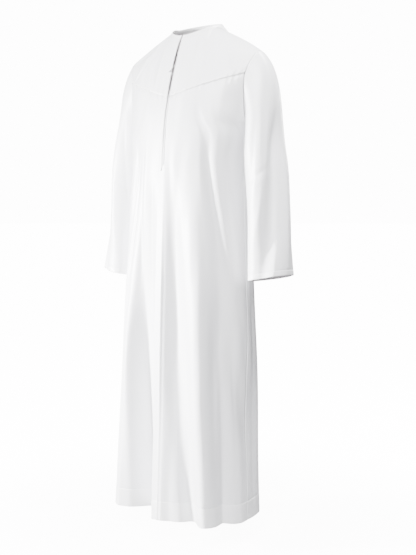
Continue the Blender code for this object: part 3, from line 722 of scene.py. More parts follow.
def ring_quads(index):
    """Faces between rings of points, from a grid of the points' numbers with a row for each ring."""
    beside = np.roll(index, -1, axis=1)
    return np.stack([index[:-1], beside[:-1], beside[1:], index[1:]], axis=2).reshape(-1, 4)


def sewn(name, lines):
    """Stitches along lines of points with their normals, joined into one mesh.

    Each stitch is a short capsule of rings, which dips into the cloth at its ends.
    """
    spots = []
    for points, normals in lines:
        line = np.concatenate([points, normals], axis=1)
        places = np.arange(STITCH_PITCH, length_of(points) - STITCH_PITCH, STITCH_PITCH)
        spots.append(np.concatenate([along(line, places), along(line, places + 0.5)[:, :3]], axis=1))
    spots = np.concatenate(spots)
    centre, normal, run = spots[:, :3], unit(spots[:, 3:6]), unit(spots[:, 6:] - spots[:, :3])
    side = unit(np.cross(run, normal))
    turn = circle(STITCH_CORNERS)[None, :, None]
    spoke = np.cos(turn) * side[:, None] + np.sin(turn) * normal[:, None]
    rings = []
    for reach, size, dip in STITCH_RINGS:
        middle = centre + run * reach * STITCH_LENGTH + normal * (STITCH_LIFT - dip)
        rings.append(middle[:, None] + spoke * STITCH_RADIUS * size)
    points = np.stack(rings, axis=1)
    each_has = len(STITCH_RINGS) * STITCH_CORNERS
    index = np.arange(each_has).reshape(len(STITCH_RINGS), STITCH_CORNERS)
    quads, caps = ring_quads(index)[:, ::-1], np.stack([index[0], index[-1][::-1]])
    each = np.arange(len(centre))[:, None, None] * each_has
    faces = (quads + each).reshape(-1, 4).tolist()
    faces += (caps + each).reshape(-1, STITCH_CORNERS).tolist()
    piece = object_of(name, points, faces, THREAD)
    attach(piece, "root")
    return piece


hem_heights = HEM_Z + np.concatenate([np.linspace(0, 2.4, 3), np.linspace(8, HEM_DEPTH - 5, 7)])
line_heights = HEM_Z + HEM_DEPTH + np.linspace(-3, 3, 7)
body_heights = np.linspace(HEM_Z + HEM_DEPTH + 8, UNDERARM_Z, BODY_ROWS)
skirt_heights = np.concatenate([hem_heights, line_heights, body_heights])
front_rows = np.concatenate(
    [
        rows_at(FRONT_SECTIONS, skirt_heights),
        np.linspace(UNDERARM_STATION, YOKE_STATION, CHEST_ROWS)[1:],
        [YOKE_STATION + UNDER_YOKE / 2, YOKE_STATION + UNDER_YOKE],
    ]
)
front, front_normals, _, front_middle = front_grid(front_rows)
tucked = smooth((front_rows - YOKE_STATION + TUCK_START) / TUCK_EASE)[:, None]
front = front - front_normals * (YOKE_TUCK * tucked)[..., None]
seam_row = nearest(front_rows, YOKE_STATION)
below_seam = np.abs(way_along(front, 0, seam_row))
across_way = way_along(front, 1, front_middle)
dip = groove(below_seam, YOKE_SEAM_WIDTH, YOKE_SEAM_DEPTH) + pucker(across_way, below_seam - 5, 9, 0.6)
front = front + front_normals * dip[..., None]
hem_way = way_along(front, 0)
front = front + front_normals * hem_relief(hem_way, across_way, HEM_DEPTH, HEM_RAISE)[..., None]
in_front = np.ones((front.shape[0] - 1, front.shape[1] - 1), bool)
in_front[:, front_middle - 1] = front[1:, front_middle, 2] < SLIT_END_Z
layers = turned_up(hem_way, HEM_DEPTH)
front_cloth = cloth_shell("front_cloth", front, ROBE_COTTON, layers, keep=in_front, middle=front_middle)
hem_row = nearest(front_rows, rows_at(FRONT_SECTIONS, HEM_Z + HEM_DEPTH))
front_stitches = sewn("front_hem_stitches", [(front[hem_row], front_normals[hem_row])])
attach(front_cloth, "root")
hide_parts("front_panel")

# Yoke. Two pieces of the same cotton, left and right of the front opening, from the neck and the
# shoulder seam down to the V-shaped seam. The seam's allowance is pressed up under the yoke and
# topstitched, which shows as a low welt with small puckers.
WELT_WIDTH = 6.0
WELT_HEIGHT = 0.7
WELT_STITCHES = WELT_WIDTH - 1.8
YOKE_LIFT = 0.25
PROBE_COLUMN = 40


def yoke_relief(seam_way, across_way):
    """The welt over the seam allowance: a flat ridge from the edge to its stitching, and puckers."""
    edge = smooth((seam_way + 0.4) / 2.6)
    ridge = WELT_HEIGHT * edge * (1 - smooth((seam_way - WELT_WIDTH + 1.5) / 3.0))
    line = groove(seam_way - WELT_STITCHES, 0.9, 0.35) + pucker(across_way, seam_way - 4, 11, 0.45)
    return YOKE_LIFT * edge + ridge + line + groove(seam_way, 3.5, 1.1)


yoke_rows = YOKE_STATION + stepped((0, 0.07, 11), (0.07, 1, 62))
yoke, yoke_normals, _, _ = front_grid(yoke_rows)
seam_way, yoke_across = way_along(yoke, 0), way_along(yoke, 1, front_middle)
yoke_top_way = np.abs(way_along(yoke, 0, -1))
lift = yoke_relief(seam_way, yoke_across) * smooth(yoke_top_way / 6)
lift += seam_relief(yoke_top_way, yoke_across)
yoke = yoke + yoke_normals * lift[..., None]
yoke_layers = 1 - smooth((seam_way - WELT_WIDTH) / 3)
stitch_row = nearest(seam_way[:, front_middle + PROBE_COLUMN], WELT_STITCHES)
for name, columns, middle in (
    ("right", slice(0, front_middle), -1),
    ("left", slice(front_middle, None), 0),
):
    points, layers = yoke[:, columns], yoke_layers[:, columns]
    piece = cloth_shell("yoke_%s_cloth" % name, points, ROBE_COTTON, layers, middle=middle)
    seam_line = (points[stitch_row], yoke_normals[stitch_row, columns])
    stitches = sewn("yoke_%s_stitches" % name, [seam_line])
    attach(piece, "root")
    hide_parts("yoke_" + name)

# Back panel. One width of the same cotton from the hem, over the shoulders, to the shoulder seams
# in front of their ridge. It hangs from the shoulders in long folds and is sewn to the front down
# both sides. Its hem is turned up like the front's.
BACK_SECTIONS = (
    # z_centre, z_edge, half_width, fwd_centre, fwd_edge, fullness, closing, rise_power
    (-1402, -1402, 214, -104, 63, 2.7, 1.00, 1.0),
    (-1190, -1190, 209, -100, 60, 2.7, 1.00, 1.0),
    (-950, -950, 204, -97, 54, 2.6, 1.00, 1.0),
    (-740, -740, 196, -94, 46, 2.4, 1.00, 1.0),
    (-520, -520, 184, -93, 34, 2.4, 1.00, 1.0),
    (-390, -390, 180, -98, 24, 2.4, 1.00, 1.0),
    (-310, -310, 192, -104, 18, 2.4, 1.00, 1.0),
    (-285, -282, 196, -105, -18, 2.3, 0.55, 1.0),
    (-225, -215, 201, -106, -50, 2.3, 0.15, 1.0),
    (-130, -140, 208, -98, -50, 2.2, 0.00, 1.0),
    (-60, -94, 219, -80, -16, 2.2, 0.00, 3.0),
)
BACK_TOP_RUN = ((0, 0.30, 0.95), (-0.08, 0.93, -0.20), (0, 0.90, -0.44))
BACK_CREASES = (
    # girth_top, girth_middle, girth_low, z_top, z_low, width, depth, roundness
    (1.30, 1.34, 1.36, -330, -1000, 11, -4.2, 1.3),
    (1.40, 1.42, 1.43, -420, -1900, 12, -4.2, 1.4),
    (1.56, 1.60, 1.62, -260, -1250, 16, 4.2, 1.6),
    (1.74, 1.80, 1.82, -230, -900, 11, -4.5, 1.3),
    (1.90, 1.94, 1.97, -380, -1900, 14, -4.5, 1.5),
    (2.06, 2.08, 2.10, -300, -1400, 14, 3.8, 1.6),
    (2.20, 2.18, 2.16, -260, -860, 11, -4.2, 1.3),
    (2.34, 2.32, 2.31, -300, -1900, 16, 4.2, 1.6),
    (2.50, 2.53, 2.55, -420, -1900, 12, -4.2, 1.4),
    (2.66, 2.68, 2.72, -330, -1100, 12, -3.5, 1.4),
    (2.84, 2.86, 2.88, -500, -1500, 14, 3.2, 1.6),
    (1.14, 1.12, 1.13, -500, -1500, 14, -3.2, 1.6),
)
BACK_COLUMNS_HALF = 96
BACK_FOLDS_END = 7.5
BACK_FOLDS_EASE = 1.5
SHOULDER_STATION = len(BACK_SECTIONS) - 1


def back_grid(rows):
    """The folded back at these rows, and its normals."""
    rows = np.asarray(rows, float)
    shares = np.linspace(0, 1, BACK_COLUMNS_HALF + 1)
    stations, runs = half_panel(BACK_SECTIONS, np.pi, BACK_TOP_RUN, shares)
    left = loft(stations, runs, rows)
    points = np.concatenate([left[:, ::-1], (left * [-1, 1, 1])[:, 1:]], axis=1)
    round_way = np.concatenate([(2 - shares)[::-1], (2 + shares)[1:]])
    round_way = np.broadcast_to(round_way, points.shape[:2])
    girth = np.where(round_way > 2, round_way - 4, round_way)
    up = points[..., 2]
    soft = body_fold_depth(girth, up) + crease_depth(round_way, up, BACK_CREASES)
    soft += unevenness(girth, up)
    depth = soft * smooth((BACK_FOLDS_END - rows) / BACK_FOLDS_EASE)[:, None] * edge_fade(girth, rows)
    depth += side_seam_relief(points)
    shoulder = (rows > SHOULDER_STATION - 1)[:, None]
    depth += seam_relief(np.abs(way_along(points, 0, -1)), way_along(points, 1)) * shoulder
    return folded(points, depth, rows, (1, -1))


back_rows = rows_at(BACK_SECTIONS[: UNDERARM_STATION + 1], skirt_heights)
spans = ((UNDERARM_STATION, SHOULDER_STATION, 34), (SHOULDER_STATION, SHOULDER_STATION + 1, 34))
back_rows = np.concatenate([back_rows, stepped(*spans)[1:]])
back, back_normals = back_grid(back_rows)
hem_way = way_along(back, 0)
back = back + back_normals * hem_relief(hem_way, way_along(back, 1), HEM_DEPTH, HEM_RAISE)[..., None]
layers = turned_up(hem_way, HEM_DEPTH)
back_cloth = cloth_shell("back_cloth", back, ROBE_COTTON, layers, middle=BACK_COLUMNS_HALF)
back_stitches = sewn("back_hem_stitches", [(back[hem_row], back_normals[hem_row])])
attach(back_cloth, "root")
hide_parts("back_panel")

# Sleeves. Each is one piece of the same cotton, sewn into a long straight tube with its seam under
# the arm, set into the armhole and topstitched beside it. It hangs from the shoulder, and its cuff
# is only a narrow stitched hem.
SLEEVE_RINGS = (
    # z, out, fwd, half_out, half_fwd, tilt_out, tilt_fwd
    (-372, 233, 8, 48, 73, 0.06, 0.00),
    (-520, 249, 10, 51, 74, 0.10, 0.01),
    (-636, 260, 15, 53, 75, 0.16, 0.02),
    (-717, 267, 20, 55, 76, 0.20, 0.03),
)
SLEEVE_FULLNESS = 2.15
SLEEVE_TOP_RUN = (0.74, 0, -0.67)
SLEEVE_UNDERARM_RUN = (-0.03, 0, -1.0)
SLEEVE_FOLDS = {
    # turn is 0 at the inner side, 0.25 in front, 0.5 outside and 0.75 behind
    1: (
        # turn_top, turn_low, z_top, z_low, width, depth
        (0.50, 0.27, -230, -735, 0.075, -9),
        (0.38, 0.16, -200, -700, 0.080, 5),
        (0.60, 0.40, -300, -735, 0.080, 5),
        (0.72, 0.66, -260, -735, 0.090, -6),
        (0.92, 0.84, -330, -735, 0.080, 5),
    ),
    -1: (
        (0.50, 0.30, -230, -735, 0.075, -8),
        (0.38, 0.18, -200, -700, 0.080, 5),
        (0.60, 0.43, -300, -735, 0.080, 6),
        (0.72, 0.66, -260, -735, 0.090, -6),
        (0.92, 0.84, -330, -735, 0.080, 5),
    ),
}
SLEEVE_GIRTH = 415
SLEEVE_CREASES = {
    1: (
        # turn_top, turn_middle, turn_low, z_top, z_low, width, depth, roundness
        (0.51, 0.42, 0.30, -190, -760, 20, -9.0, 1.6),
        (0.62, 0.54, 0.44, -230, -820, 20, 5.0, 1.8),
        (0.44, 0.33, 0.20, -190, -690, 11, 3.7, 1.6),
        (0.33, 0.27, 0.22, -240, -520, 11, -3.1, 1.6),
        (0.56, 0.50, 0.46, -260, -760, 11, 3.1, 1.6),
        (0.66, 0.62, 0.56, -300, -760, 10, -3.7, 1.4),
        (0.80, 0.78, 0.72, -280, -640, 10, 3.4, 1.5),
        (0.90, 0.93, 0.96, -340, -700, 10, -3.4, 1.5),
        (0.40, 0.35, 0.33, -600, -860, 9, 2.4, 1.5),
    ),
    -1: (
        (0.42, 0.36, 0.30, -180, -640, 10, -4.1, 1.4),
        (0.36, 0.29, 0.22, -190, -690, 11, 3.7, 1.6),
        (0.28, 0.20, 0.14, -240, -560, 10, -3.1, 1.6),
        (0.54, 0.50, 0.42, -260, -760, 11, -3.4, 1.6),
        (0.66, 0.66, 0.60, -300, -760, 10, 3.4, 1.4),
        (0.82, 0.80, 0.76, -280, -640, 10, -3.4, 1.5),
        (0.92, 0.93, 0.96, -340, -700, 10, 2.7, 1.5),
    ),
}
# Level drag creases where the sleeve bends at the elbow, on its inner and front side
ELBOW_CREASES = (
    # turn, reach, z, slope, width, depth
    (0.30, 0.10, -428, 26, 6.0, -1.6),
    (0.22, 0.09, -470, 22, 6.0, 1.2),
    (0.72, 0.10, -400, -24, 7.0, -1.4),
    (0.66, 0.10, -452, -20, 7.0, 1.1),
)
CUFF_HEM = 15
SLEEVE_COLUMNS = 150
SLEEVE_TUCK = 0.7
SLEEVE_UNEVEN = 0.7
CAP_EASE = 45
ARMHOLE_STITCHES = 3.0


def armhole_loop():
    """The left armhole as two curves from the underarm to the ridge, up the front and up the back."""
    edge = np.array([1.0])
    front_rows_fine = np.linspace(UNDERARM_STATION, len(FRONT_SECTIONS), 60)
    back_rows_fine = np.linspace(UNDERARM_STATION, len(BACK_SECTIONS), 90)
    front_edge = loft(*half_panel(FRONT_SECTIONS, 0.0, FRONT_TOP_RUN, edge), front_rows_fine)[:, 0]
    back_edge = loft(*half_panel(BACK_SECTIONS, np.pi, BACK_TOP_RUN, edge), back_rows_fine)[:, 0]
    ridge = int(np.argmax(back_edge[:, 2]))
    up_front = np.concatenate([front_edge, back_edge[: ridge - 1 : -1][1:]])
    return up_front, back_edge[: ridge + 1][::-1]


def sleeve_ring(z, out, fwd, half_out, half_fwd, tilt_out, tilt_fwd, turns):
    """One ring of the sleeve: a superellipse, tilted, with turns counted from its inner side."""
    angle = np.linspace(0, 2 * np.pi, SECTION_SAMPLES * 2)
    power = 2 / SLEEVE_FULLNESS
    across = -np.sign(np.cos(angle)) * np.abs(np.cos(angle)) ** power * half_out
    deep = np.sign(np.sin(angle)) * np.abs(np.sin(angle)) ** power * half_fwd
    curve = np.stack([out + across, fwd + deep, z + tilt_out * across + tilt_fwd * deep], axis=1)
    return along(curve, turns * length_of(curve))


def sleeve_grid(rows, side):
    """The folded sleeve with rows that climb, its normals and its way up from the cuff."""
    turns = np.linspace(0, 1, SLEEVE_COLUMNS, endpoint=False)
    up_front, down_back = armhole_loop()
    top = np.where(
        (turns <= 0.5)[:, None],
        along(up_front, turns * 2 * length_of(up_front)),
        along(down_back, (turns * 2 - 1) * length_of(down_back)),
    )
    stations = np.array([top] + [sleeve_ring(*row, turns) for row in SLEEVE_RINGS])
    runs = interior_runs(stations)
    share = np.sin(np.pi * turns)[:, None] ** 2
    runs[0] = unit(share * np.array(SLEEVE_TOP_RUN) + (1 - share) * np.array(SLEEVE_UNDERARM_RUN))
    points = loft(stations, runs, rows)[::-1]
    up = points[..., 2]
    turn = np.broadcast_to(turns, up.shape)
    depth = np.zeros_like(up)
    for t_top, t_low, z_top, z_low, width, low_depth in SLEEVE_FOLDS[side]:
        progress = np.clip((z_top - up) / (z_top - z_low), 0, 1)
        offset = np.abs((turn - (t_top + (t_low - t_top) * progress) + 0.5) % 1 - 0.5) / width
        shape = raised_cosine(offset)
        depth += low_depth * shape * smooth(progress * 3)
    depth += crease_depth(turn, up, SLEEVE_CREASES[side], SLEEVE_GIRTH)
    depth += level_crease_depth(turn, up, ELBOW_CREASES)
    for waves, per_metre, phase, high in UNEVENNESS[:3]:
        wave = 2 * np.pi * (waves // 4 + 1) * turn + per_metre * up * MM * 4 + phase + side
        depth += SLEEVE_UNEVEN * high * np.sin(wave)
    cap_way, cuff_way = np.abs(way_along(points, 0, -1)), way_along(points, 0)
    depth *= smooth(cap_way / CAP_EASE)
    around = way_along(points, 1)
    tuck = SLEEVE_TUCK * (1 - 0.6 * np.sin(np.pi * turn) ** 2)
    depth += groove(cap_way, 2.2, tuck) + pucker(around, cap_way - 5, 12, 0.22) * smooth(cap_way / 5)
    depth += hem_relief(cuff_way, around, CUFF_HEM, HEM_RAISE)
    normals = grid_normals(points, wrap=True)
    points = points + normals * depth[..., None]
    return points, grid_normals(points, wrap=True), cuff_way, cap_way


spans = ((0, 0.1, 9), (0.1, 1, 52), (1, 2, 24), (2, 3, 20), (3, 3.76, 12), (3.76, 4, 17))
sleeve_rows = stepped(*spans)
for side, name in ((1, "left"), (-1, "right")):
    points, normals, cuff_way, cap_way = sleeve_grid(sleeve_rows, side)
    line = nearest(cuff_way[:, 0], CUFF_HEM)
    seam = nearest(np.median(cap_way, axis=1), ARMHOLE_STITCHES)
    if side < 0:
        points, normals = points[:, ::-1] * [-1, 1, 1], normals[:, ::-1] * [-1, 1, 1]
    layers = turned_up(cuff_way, CUFF_HEM)
    piece = cloth_shell("sleeve_%s_cloth" % name, points, ROBE_COTTON, layers, wrap=True)
    rings = [[np.concatenate([g[r], g[r][:1]]) for g in (points, normals)] for r in (line, seam)]
    stitches = sewn("sleeve_%s_stitches" % name, rings)
    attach(piece, "root")
    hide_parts("sleeve_" + name)

# Neck binding. A narrow bias strip of the same cotton, folded double over the neck's raw edge and
# stitched along its foot. It runs from one side of the front opening round to the other.
BINDING_HEIGHT = 7.0
BINDING_THICK = 2.2
BINDING_FOOT = 1.2
BINDING_LEAN = (
    # degrees round from the front, lean
    (0, 0.50), (70, 0.62), (110, 0.62), (180, 0.34),
)
BINDING_SEAT = 0.75
BINDING_STITCHES = 1.9
BINDING_PINCH = 0.30
BINDING_TWIST = 0.10
BINDING_CORNERS = 20
BINDING_RINGS = 361
BINDING_COTTON = cotton("binding cotton", (0.88, 0.88, 0.895), (0.90, 0.90, 0.91), 0.46)


def neck_path(count):
    """The neck seam from the right side of the opening round to the left, with its two directions.

    Returns points, the way the binding stands and the way its outer face looks.
    """
    angle = np.linspace(0, 2 * np.pi, 721)
    around = neck_point(np.minimum(angle, 2 * np.pi - angle))
    around[angle > np.pi, 0] *= -1
    gap = slit_half_width(NECK_Z_FRONT)
    path = along(around, np.linspace(gap, length_of(around) - gap, count))
    run = unit(np.gradient(path, axis=0))
    out = unit(np.cross(np.array([0, 0, 1.0]), run))
    degrees = np.degrees(np.abs(np.arctan2(path[:, 0], path[:, 1])))
    out *= np.sign(np.sum(out * path, axis=1, keepdims=True))
    lean = np.interp(degrees, *np.array(BINDING_LEAN).T)[:, None]
    stands = unit(np.array([0, 0, 1.0]) - out * lean)
    stands = unit(stands - run * np.sum(stands * run, axis=1, keepdims=True))
    face = unit(np.cross(stands, run))
    face *= np.sign(np.sum(face * out, axis=1, keepdims=True))
    return path - face * BINDING_SEAT, stands, face


def closed_tube(name, rings, finish):
    """A tube through rings of points, closed at both ends, with UV in metres round and along it."""
    spokes, ahead = rings[0] - rings[0].mean(axis=0), rings[1].mean(axis=0) - rings[0].mean(axis=0)
    if np.dot(np.cross(spokes[0], spokes[1]), ahead) > 0:
        rings = rings[:, ::-1]
    index = np.arange(rings[..., 0].size).reshape(rings.shape[:2])
    quads = ring_quads(index)
    faces = [*quads.tolist(), index[0][::-1].tolist(), index[-1].tolist()]
    way, around = way_along(rings, 0) * MM, way_along(rings, 1) * MM
    corner = np.concatenate([quads.ravel(), index[0][::-1], index[-1]])
    flat = np.stack([around.ravel()[corner], way.ravel()[corner]], axis=1)
    piece = object_of(name, rings, faces, finish)
    lay_flat(piece, flat, np.ones(index.size))
    return piece


neck_line, stands, face = neck_path(BINDING_RINGS)
neck_way = way_along(neck_line[None], 1)[0][:, None]
turn = circle(BINDING_CORNERS)
across = -np.sign(np.cos(turn)) * np.abs(np.cos(turn)) ** 0.5
thick = np.sign(np.sin(turn)) * np.abs(np.sin(turn)) ** 0.7 * BINDING_THICK / 2
standing = (0.5 + 0.5 * across) * (BINDING_HEIGHT + 0.6 + BINDING_FOOT) - BINDING_FOOT
pinched = 1 + groove(standing - BINDING_STITCHES, 0.8, BINDING_PINCH)
roll = np.exp(-(((standing - 3.4) / 2.5) ** 2))
twist = 1 + BINDING_TWIST * np.sin(neck_way / 3.3 + 0.5 * standing) * roll
binding = neck_line[:, None] + stands[:, None] * standing[None, :, None]
binding = binding + face[:, None] * (thick * pinched * twist)[..., None]
neck_binding = closed_tube("neck_binding_cloth", binding, BINDING_COTTON)
foot = neck_line + stands * BINDING_STITCHES + face * BINDING_THICK * 0.37
neck_stitches = sewn("neck_binding_stitches", [(foot, face)])
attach(neck_binding, "root")
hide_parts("neck_binding")

# Facings of the front opening. Two strips of the cotton, folded in at both edges and stitched down
# beside the slit: a wide one on the wearer's right, which ends in a rounded tip below the slit, and
# a narrow one on the left.
BAND_LIFT = 0.35
BAND_THICK = 1.2
BAND_TIP = 14
FACING_COLUMNS = 12
FACING_STITCHES = 1.3
FACING_CLOTH = 0.6
PROBE_ROW = 30
TIP_STITCH_ROW = 5
FIRST_STITCH_ROW = 3
BELOW_YOKE_Z = -214
FACINGS = (
    # name, low_z, flat_width, flat_length, flat_area
    ("right", SLIT_END_Z - 19, 0.013, 0.395, 0.0044),
    ("left", SLIT_END_Z - 3, 0.010, 0.38, 0.0022),
)
for name, low_z, flat_width, flat_length, flat_area in FACINGS:
    tip_heights = np.linspace(low_z, low_z + BAND_TIP, 12)
    heights = np.concatenate([tip_heights, np.linspace(low_z + BAND_TIP + 3, BELOW_YOKE_Z, 62)])
    yoke_part = YOKE_STATION + np.linspace(0, 1, 60)
    facing_rows = np.concatenate([rows_at(FRONT_SECTIONS, heights), yoke_part])
    points, normals, _, middle = front_grid(facing_rows, 8, FACING_COLUMNS)
    right = name == "right"
    reach = FACING_COLUMNS + 1
    columns = slice(middle - reach, middle) if right else slice(middle, middle + reach)
    points, normals = points[:, columns], normals[:, columns]
    share = np.linspace(-1, 1, points.shape[1])
    tip = np.clip(1 - way_along(points, 0)[:, :1] / BAND_TIP, 0, 1) if right else 0.0
    centre = points.mean(axis=1, keepdims=True)
    points = centre + (points - centre) * np.sqrt(1 - 0.96 * np.asarray(tip) ** 2)[..., None]
    end_way = np.minimum(way_along(points, 0), np.abs(way_along(points, 0, -1)))
    rounding = (1 - np.abs(share) ** 10) * smooth(end_way / 1.2)
    edge_way = np.minimum(way_along(points, 1), np.abs(way_along(points, 1, -1)))
    lift = -0.4 + (0.4 + BAND_LIFT + BAND_THICK) * rounding ** 0.5
    stitch_way = edge_way - FACING_STITCHES
    lift += pucker(way_along(points, 0), stitch_way, 3, 0.10) + groove(stitch_way, 0.5, 0.25)
    points = points + normals * lift[..., None]
    layers = np.ones_like(lift)
    piece = cloth_shell("facing_%s_cloth" % name, points, BINDING_COTTON, layers, FACING_CLOTH)
    probe, across = points[PROBE_ROW, :, 0], way_along(points, 1)[PROBE_ROW]
    far = nearest(across, probe[-1] - probe[0] - FACING_STITCHES)
    near = nearest(across, FACING_STITCHES)
    upward_part = slice(FIRST_STITCH_ROW, None)
    lines = [(points[upward_part, k], normals[upward_part, k]) for k in sorted({near, far})]
    if right:
        foot = (TIP_STITCH_ROW, slice(near, far + 1))
        lines.append((points[foot], normals[foot]))
    stitches = sewn("facing_%s_stitches" % name, lines)
    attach(piece, "root")
    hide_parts("placket_" + name)

# Button and loop. The button is a small hard knot of white cord on a short stem, sewn to the right
# facing. A cord loop from the left facing goes round it and closes the neck.
BUTTON_Z = -139
BUTTON_OUT = -8.0
BUTTON_PROFILE = (
    # height, radius
    (0.0, 1.8), (1.1, 1.5), (2.2, 1.9), (2.5, 3.7), (3.1, 4.3),
    (3.8, 4.35), (4.5, 3.8), (5.1, 2.7), (5.4, 1.2),
)
KNOT_RINGS = 33
KNOT_CORNERS = 40
KNOT_STRANDS = 3
KNOT_SLANT = 1.1
CORD_GRAIN = 1800
LOOP_RADIUS = 0.8
LOOP_TURN = 2.9
LOOP_ENDS = ((7.0, -124.0), (7.0, -150.0))
LOOP_RINGS = 140
LOOP_CORNERS = 12


def on_front(out, up, lift):
    """Points above the yoke beside the opening, read across the grid at these places."""
    near = slice(front_middle - BAND_COLUMNS - 2, front_middle + BAND_COLUMNS + 2)
    strips = np.concatenate([yoke[:, near], yoke_normals[:, near]], axis=2)
    level = strips.reshape(len(strips), -1)
    found = np.stack([np.interp(up, yoke[:, front_middle, 2], column) for column in level.T], axis=1)
    found = found.reshape(len(found), -1, 6)
    pairs = zip(np.atleast_1d(out), found)
    places = np.array([[np.interp(x, row[:, 0], row[:, k]) for k in range(6)] for x, row in pairs])
    return places[:, :3] + unit(places[:, 3:]) * lift, unit(places[:, 3:])


button_cord, tree, shader = new_material("button cord")
place = node(tree, "TexCoord", {})
strands = node(tree, "TexNoise", {"Vector": place.outputs["Object"], "Scale": CORD_GRAIN, "Detail": 2})
relief = node(tree, "Bump", {"Strength": 0.5, "Distance": 0.0001, "Height": strands.outputs[0]})
given = {"Base Color": (0.86, 0.86, 0.88, 1), "Roughness": 0.5, "Normal": relief.outputs[0]}
feed(tree, shader, given)

band_top = BAND_LIFT + BAND_THICK + 0.3
seat, axis = (found[0] for found in on_front([BUTTON_OUT], [BUTTON_Z], 0.0))
sideways = unit(np.array([1.0, 0, 0]) - axis * axis[0])
upward = np.cross(axis, sideways)
knot_height, knot_radius = np.array(BUTTON_PROFILE, float).T
step = np.linspace(0, len(knot_height) - 1, KNOT_RINGS)
knot_height, knot_radius = (np.interp(step, np.arange(len(v)), v) for v in (knot_height, knot_radius))
turn, slant = circle(KNOT_CORNERS), step[:, None] * KNOT_SLANT
plait = np.abs(np.sin(KNOT_STRANDS * turn + slant)) * np.abs(np.sin(KNOT_STRANDS * turn - slant))
radius = knot_radius[:, None] * (0.93 + 0.09 * plait * smooth((knot_height - 2.2) / 0.6)[:, None])
spokes = np.cos(turn)[:, None] * sideways + np.sin(turn)[:, None] * upward
rings = seat + axis * (band_top + knot_height)[:, None, None] + spokes[None] * radius[..., None]
button = closed_tube("knot_button", rings, button_cord)
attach(button, "root")
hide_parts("button")

(out_a, up_a), (out_b, up_b) = LOOP_ENDS
bend = np.linspace(0.5, 1.5, 11) * np.pi
loop_out = BUTTON_OUT + LOOP_TURN * np.cos(bend)
loop_out = np.concatenate([[out_a, out_a - 5], loop_out, [out_b - 5, out_b]])
loop_up = BUTTON_Z + LOOP_TURN * np.sin(bend)
loop_up = np.concatenate([[up_a, up_a - 1], loop_up, [up_b + 1, up_b]])
route = np.stack([loop_out, loop_up, np.zeros_like(loop_up)], axis=1)
route = along(route, np.linspace(0, length_of(route), LOOP_RINGS))
padded = (np.pad(column, 5, mode="edge") for column in route.T[:2])
eased = np.stack([np.convolve(column, np.ones(11) / 11, "valid") for column in padded])
path, _ = on_front(eased[0], eased[1], band_top + LOOP_RADIUS)
run = unit(np.gradient(path, axis=0))
side = unit(np.cross(run, np.broadcast_to(axis, run.shape)))
lift = np.cross(side, run)
turn, way = circle(LOOP_CORNERS), way_along(path[None], 1)[0][:, None]
radius = LOOP_RADIUS * (0.9 + 0.12 * np.cos(2 * (turn - way * 1.7)))
turn = turn[None, :, None]
spokes = np.cos(turn) * side[:, None] + np.sin(turn) * lift[:, None]
rings = path[:, None] + radius[..., None] * spokes
loop = closed_tube("cord_loop", rings, button_cord)
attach(loop, "root")
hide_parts("button_loop")

# Studio. A wide pale floor below the hem, dim even light all round and four round lamps: a narrow
# one at the camera's left, one high in front, a small one right of and above the neck, one behind.
# The floor and the backdrop glow white to the camera only, for the photo's plain white ground.
FLOOR_Z = -1.47
FLOOR_RADII = (0.001, 1.5, 4.0, 12.0, 40.0)
FLOOR_CORNERS = 96
LIGHT_TINT = (0.90, 0.92, 1.0)
LIGHT_STRENGTH = 0.12
BACKDROP_STRENGTH = 14.0
# The floor's glow to the camera rises from the first strength, within the first radius, to the second
# strength beyond the second radius. It is weaker round the middle: a faint painted shadow under the
# robe.
FLOOR_GLOW = (12.0, 15.0)
FLOOR_SHADOW_RADII = (0.3, 1.2)
VIEW_AZIMUTH = np.radians(36.0)
VIEW_DISTANCE = 3.0
VIEW_Z = -0.50
VIEW_SHIFT = 0.026
FRAME_HEIGHT = 555
FOCAL_PIXELS = 1020
HORIZON_PIXELS = 77.5

angle = circle(FLOOR_CORNERS)
rim = np.stack([np.cos(angle), np.sin(angle)])[:, None]
rings = np.array(FLOOR_RADII)[:, None] * rim
ground = np.concatenate([rings, np.full((1, *rings.shape[1:]), FLOOR_Z)]).transpose(1, 2, 0)
index = np.arange(ground[..., 0].size).reshape(ground.shape[:2])
mesh = bpy.data.meshes.new("floor")
mesh.from_pydata(ground.reshape(-1, 3), [], ring_quads(index)[:, ::-1].tolist())
floor = bpy.data.objects.new("floor", mesh)
bpy.context.scene.collection.objects.link(floor)


def for_camera(tree, lit, shown):
    """A mix of two shaders: the camera sees the one shown, and every other ray meets the lit one."""
    seen = node(tree, "LightPath", {}).outputs["Is Camera Ray"]
    return node(tree, "MixShader", {0: seen, 1: lit, 2: shown}).outputs[0]


pale, tree, shader = new_material("pale floor")
feed(tree, shader, {"Base Color": (0.30, 0.30, 0.31, 1), "Roughness": 0.9})
place = node(tree, "TexCoord", {}).outputs["Object"]
level = node(tree, "VectorMath", {0: place, 1: (1, 1, 0)}, operation="MULTIPLY")
reach = node(tree, "VectorMath", {0: level.outputs[0]}, operation="LENGTH")
given = dict(zip(("From Min", "From Max", "To Min", "To Max"), FLOOR_SHADOW_RADII + FLOOR_GLOW))
given["Value"] = reach.outputs["Value"]
# Painted shadow: the glow is weaker near the middle of the floor, under the robe.
fade = node(tree, "MapRange", given, interpolation_type="SMOOTHSTEP")
glow = node(tree, "Emission", {"Strength": fade.outputs[0]})
shine = node(tree, "AddShader", {0: shader.outputs[0], 1: glow.outputs[0]})
both = for_camera(tree, shader.outputs[0], shine.outputs[0])
feed(tree, tree.nodes["Material Output"], {"Surface": both})
mesh.materials.append(pale)

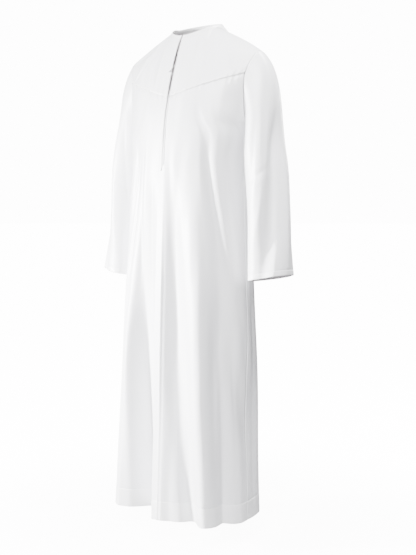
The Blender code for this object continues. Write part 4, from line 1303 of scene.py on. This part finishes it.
world = bpy.data.worlds.new("studio")
bpy.context.scene.world = world
world.use_nodes = True
tree = world.node_tree
given = {"Color": (*LIGHT_TINT, 1), "Strength": LIGHT_STRENGTH}
around = feed(tree, tree.nodes["Background"], given)
backdrop = node(tree, "Background", {"Color": (1, 1, 1, 1), "Strength": BACKDROP_STRENGTH})
both = for_camera(tree, around.outputs[0], backdrop.outputs[0])
feed(tree, tree.nodes["World Output"], {"Surface": both})

ahead = np.array([-np.sin(VIEW_AZIMUTH), np.cos(VIEW_AZIMUTH), 0])
rightward = np.array([np.cos(VIEW_AZIMUTH), np.sin(VIEW_AZIMUTH), 0])
upright = np.array([0, 0, 1.0])


def placed(name, data, spot, way):
    """A lamp or camera at this spot, with its -Z looking this way and its Y as upright as it can be."""
    way = unit(way)
    right = unit(np.cross(way, upright))
    matrix = np.eye(4)
    matrix[:3, :3] = np.stack([right, np.cross(right, way), -way], axis=1)
    matrix[:3, 3] = spot
    holder = bpy.data.objects.new(name, data)
    holder.matrix_world = Matrix(matrix)
    bpy.context.scene.collection.objects.link(holder)
    return holder


LIGHTS = (
    # name, nearer, right, up, width, spread, aim_right, aim_up, watts
    ("key", 0.6, -3.1, -0.2, 0.5, 50, 0.75, -1.10, 74),
    ("front", 3.0, -0.5, 1.5, 0.5, 180, 0.0, -0.7, 360),
    ("neck", 0.15, 0.75, 1.0, 0.25, 180, 0.0, -0.7, 75),
    ("rim", -2.2, 2.2, 0.1, 0.6, 180, 0.0, -0.7, 55),
)
for name, nearer, right, up, width, spread, aim_right, aim_up, watts in LIGHTS:
    spot = -ahead * nearer + rightward * right + upright * up
    lamp = bpy.data.lights.new(name, "AREA")
    lamp.shape = "DISK"
    lamp.size, lamp.spread, lamp.energy = width, np.radians(spread), watts
    placed(name, lamp, spot, rightward * aim_right + upright * aim_up - spot)

lens = bpy.data.cameras.new("camera")
lens.sensor_fit = "VERTICAL"
lens.sensor_height = 24
lens.lens = lens.sensor_height * FOCAL_PIXELS / FRAME_HEIGHT
dip = np.arctan(HORIZON_PIXELS / FOCAL_PIXELS)
spot = -ahead * VIEW_DISTANCE + rightward * VIEW_SHIFT + upright * VIEW_Z
camera = placed("camera", lens, spot, ahead * np.cos(dip) - upright * np.sin(dip))
bpy.context.scene.camera = camera
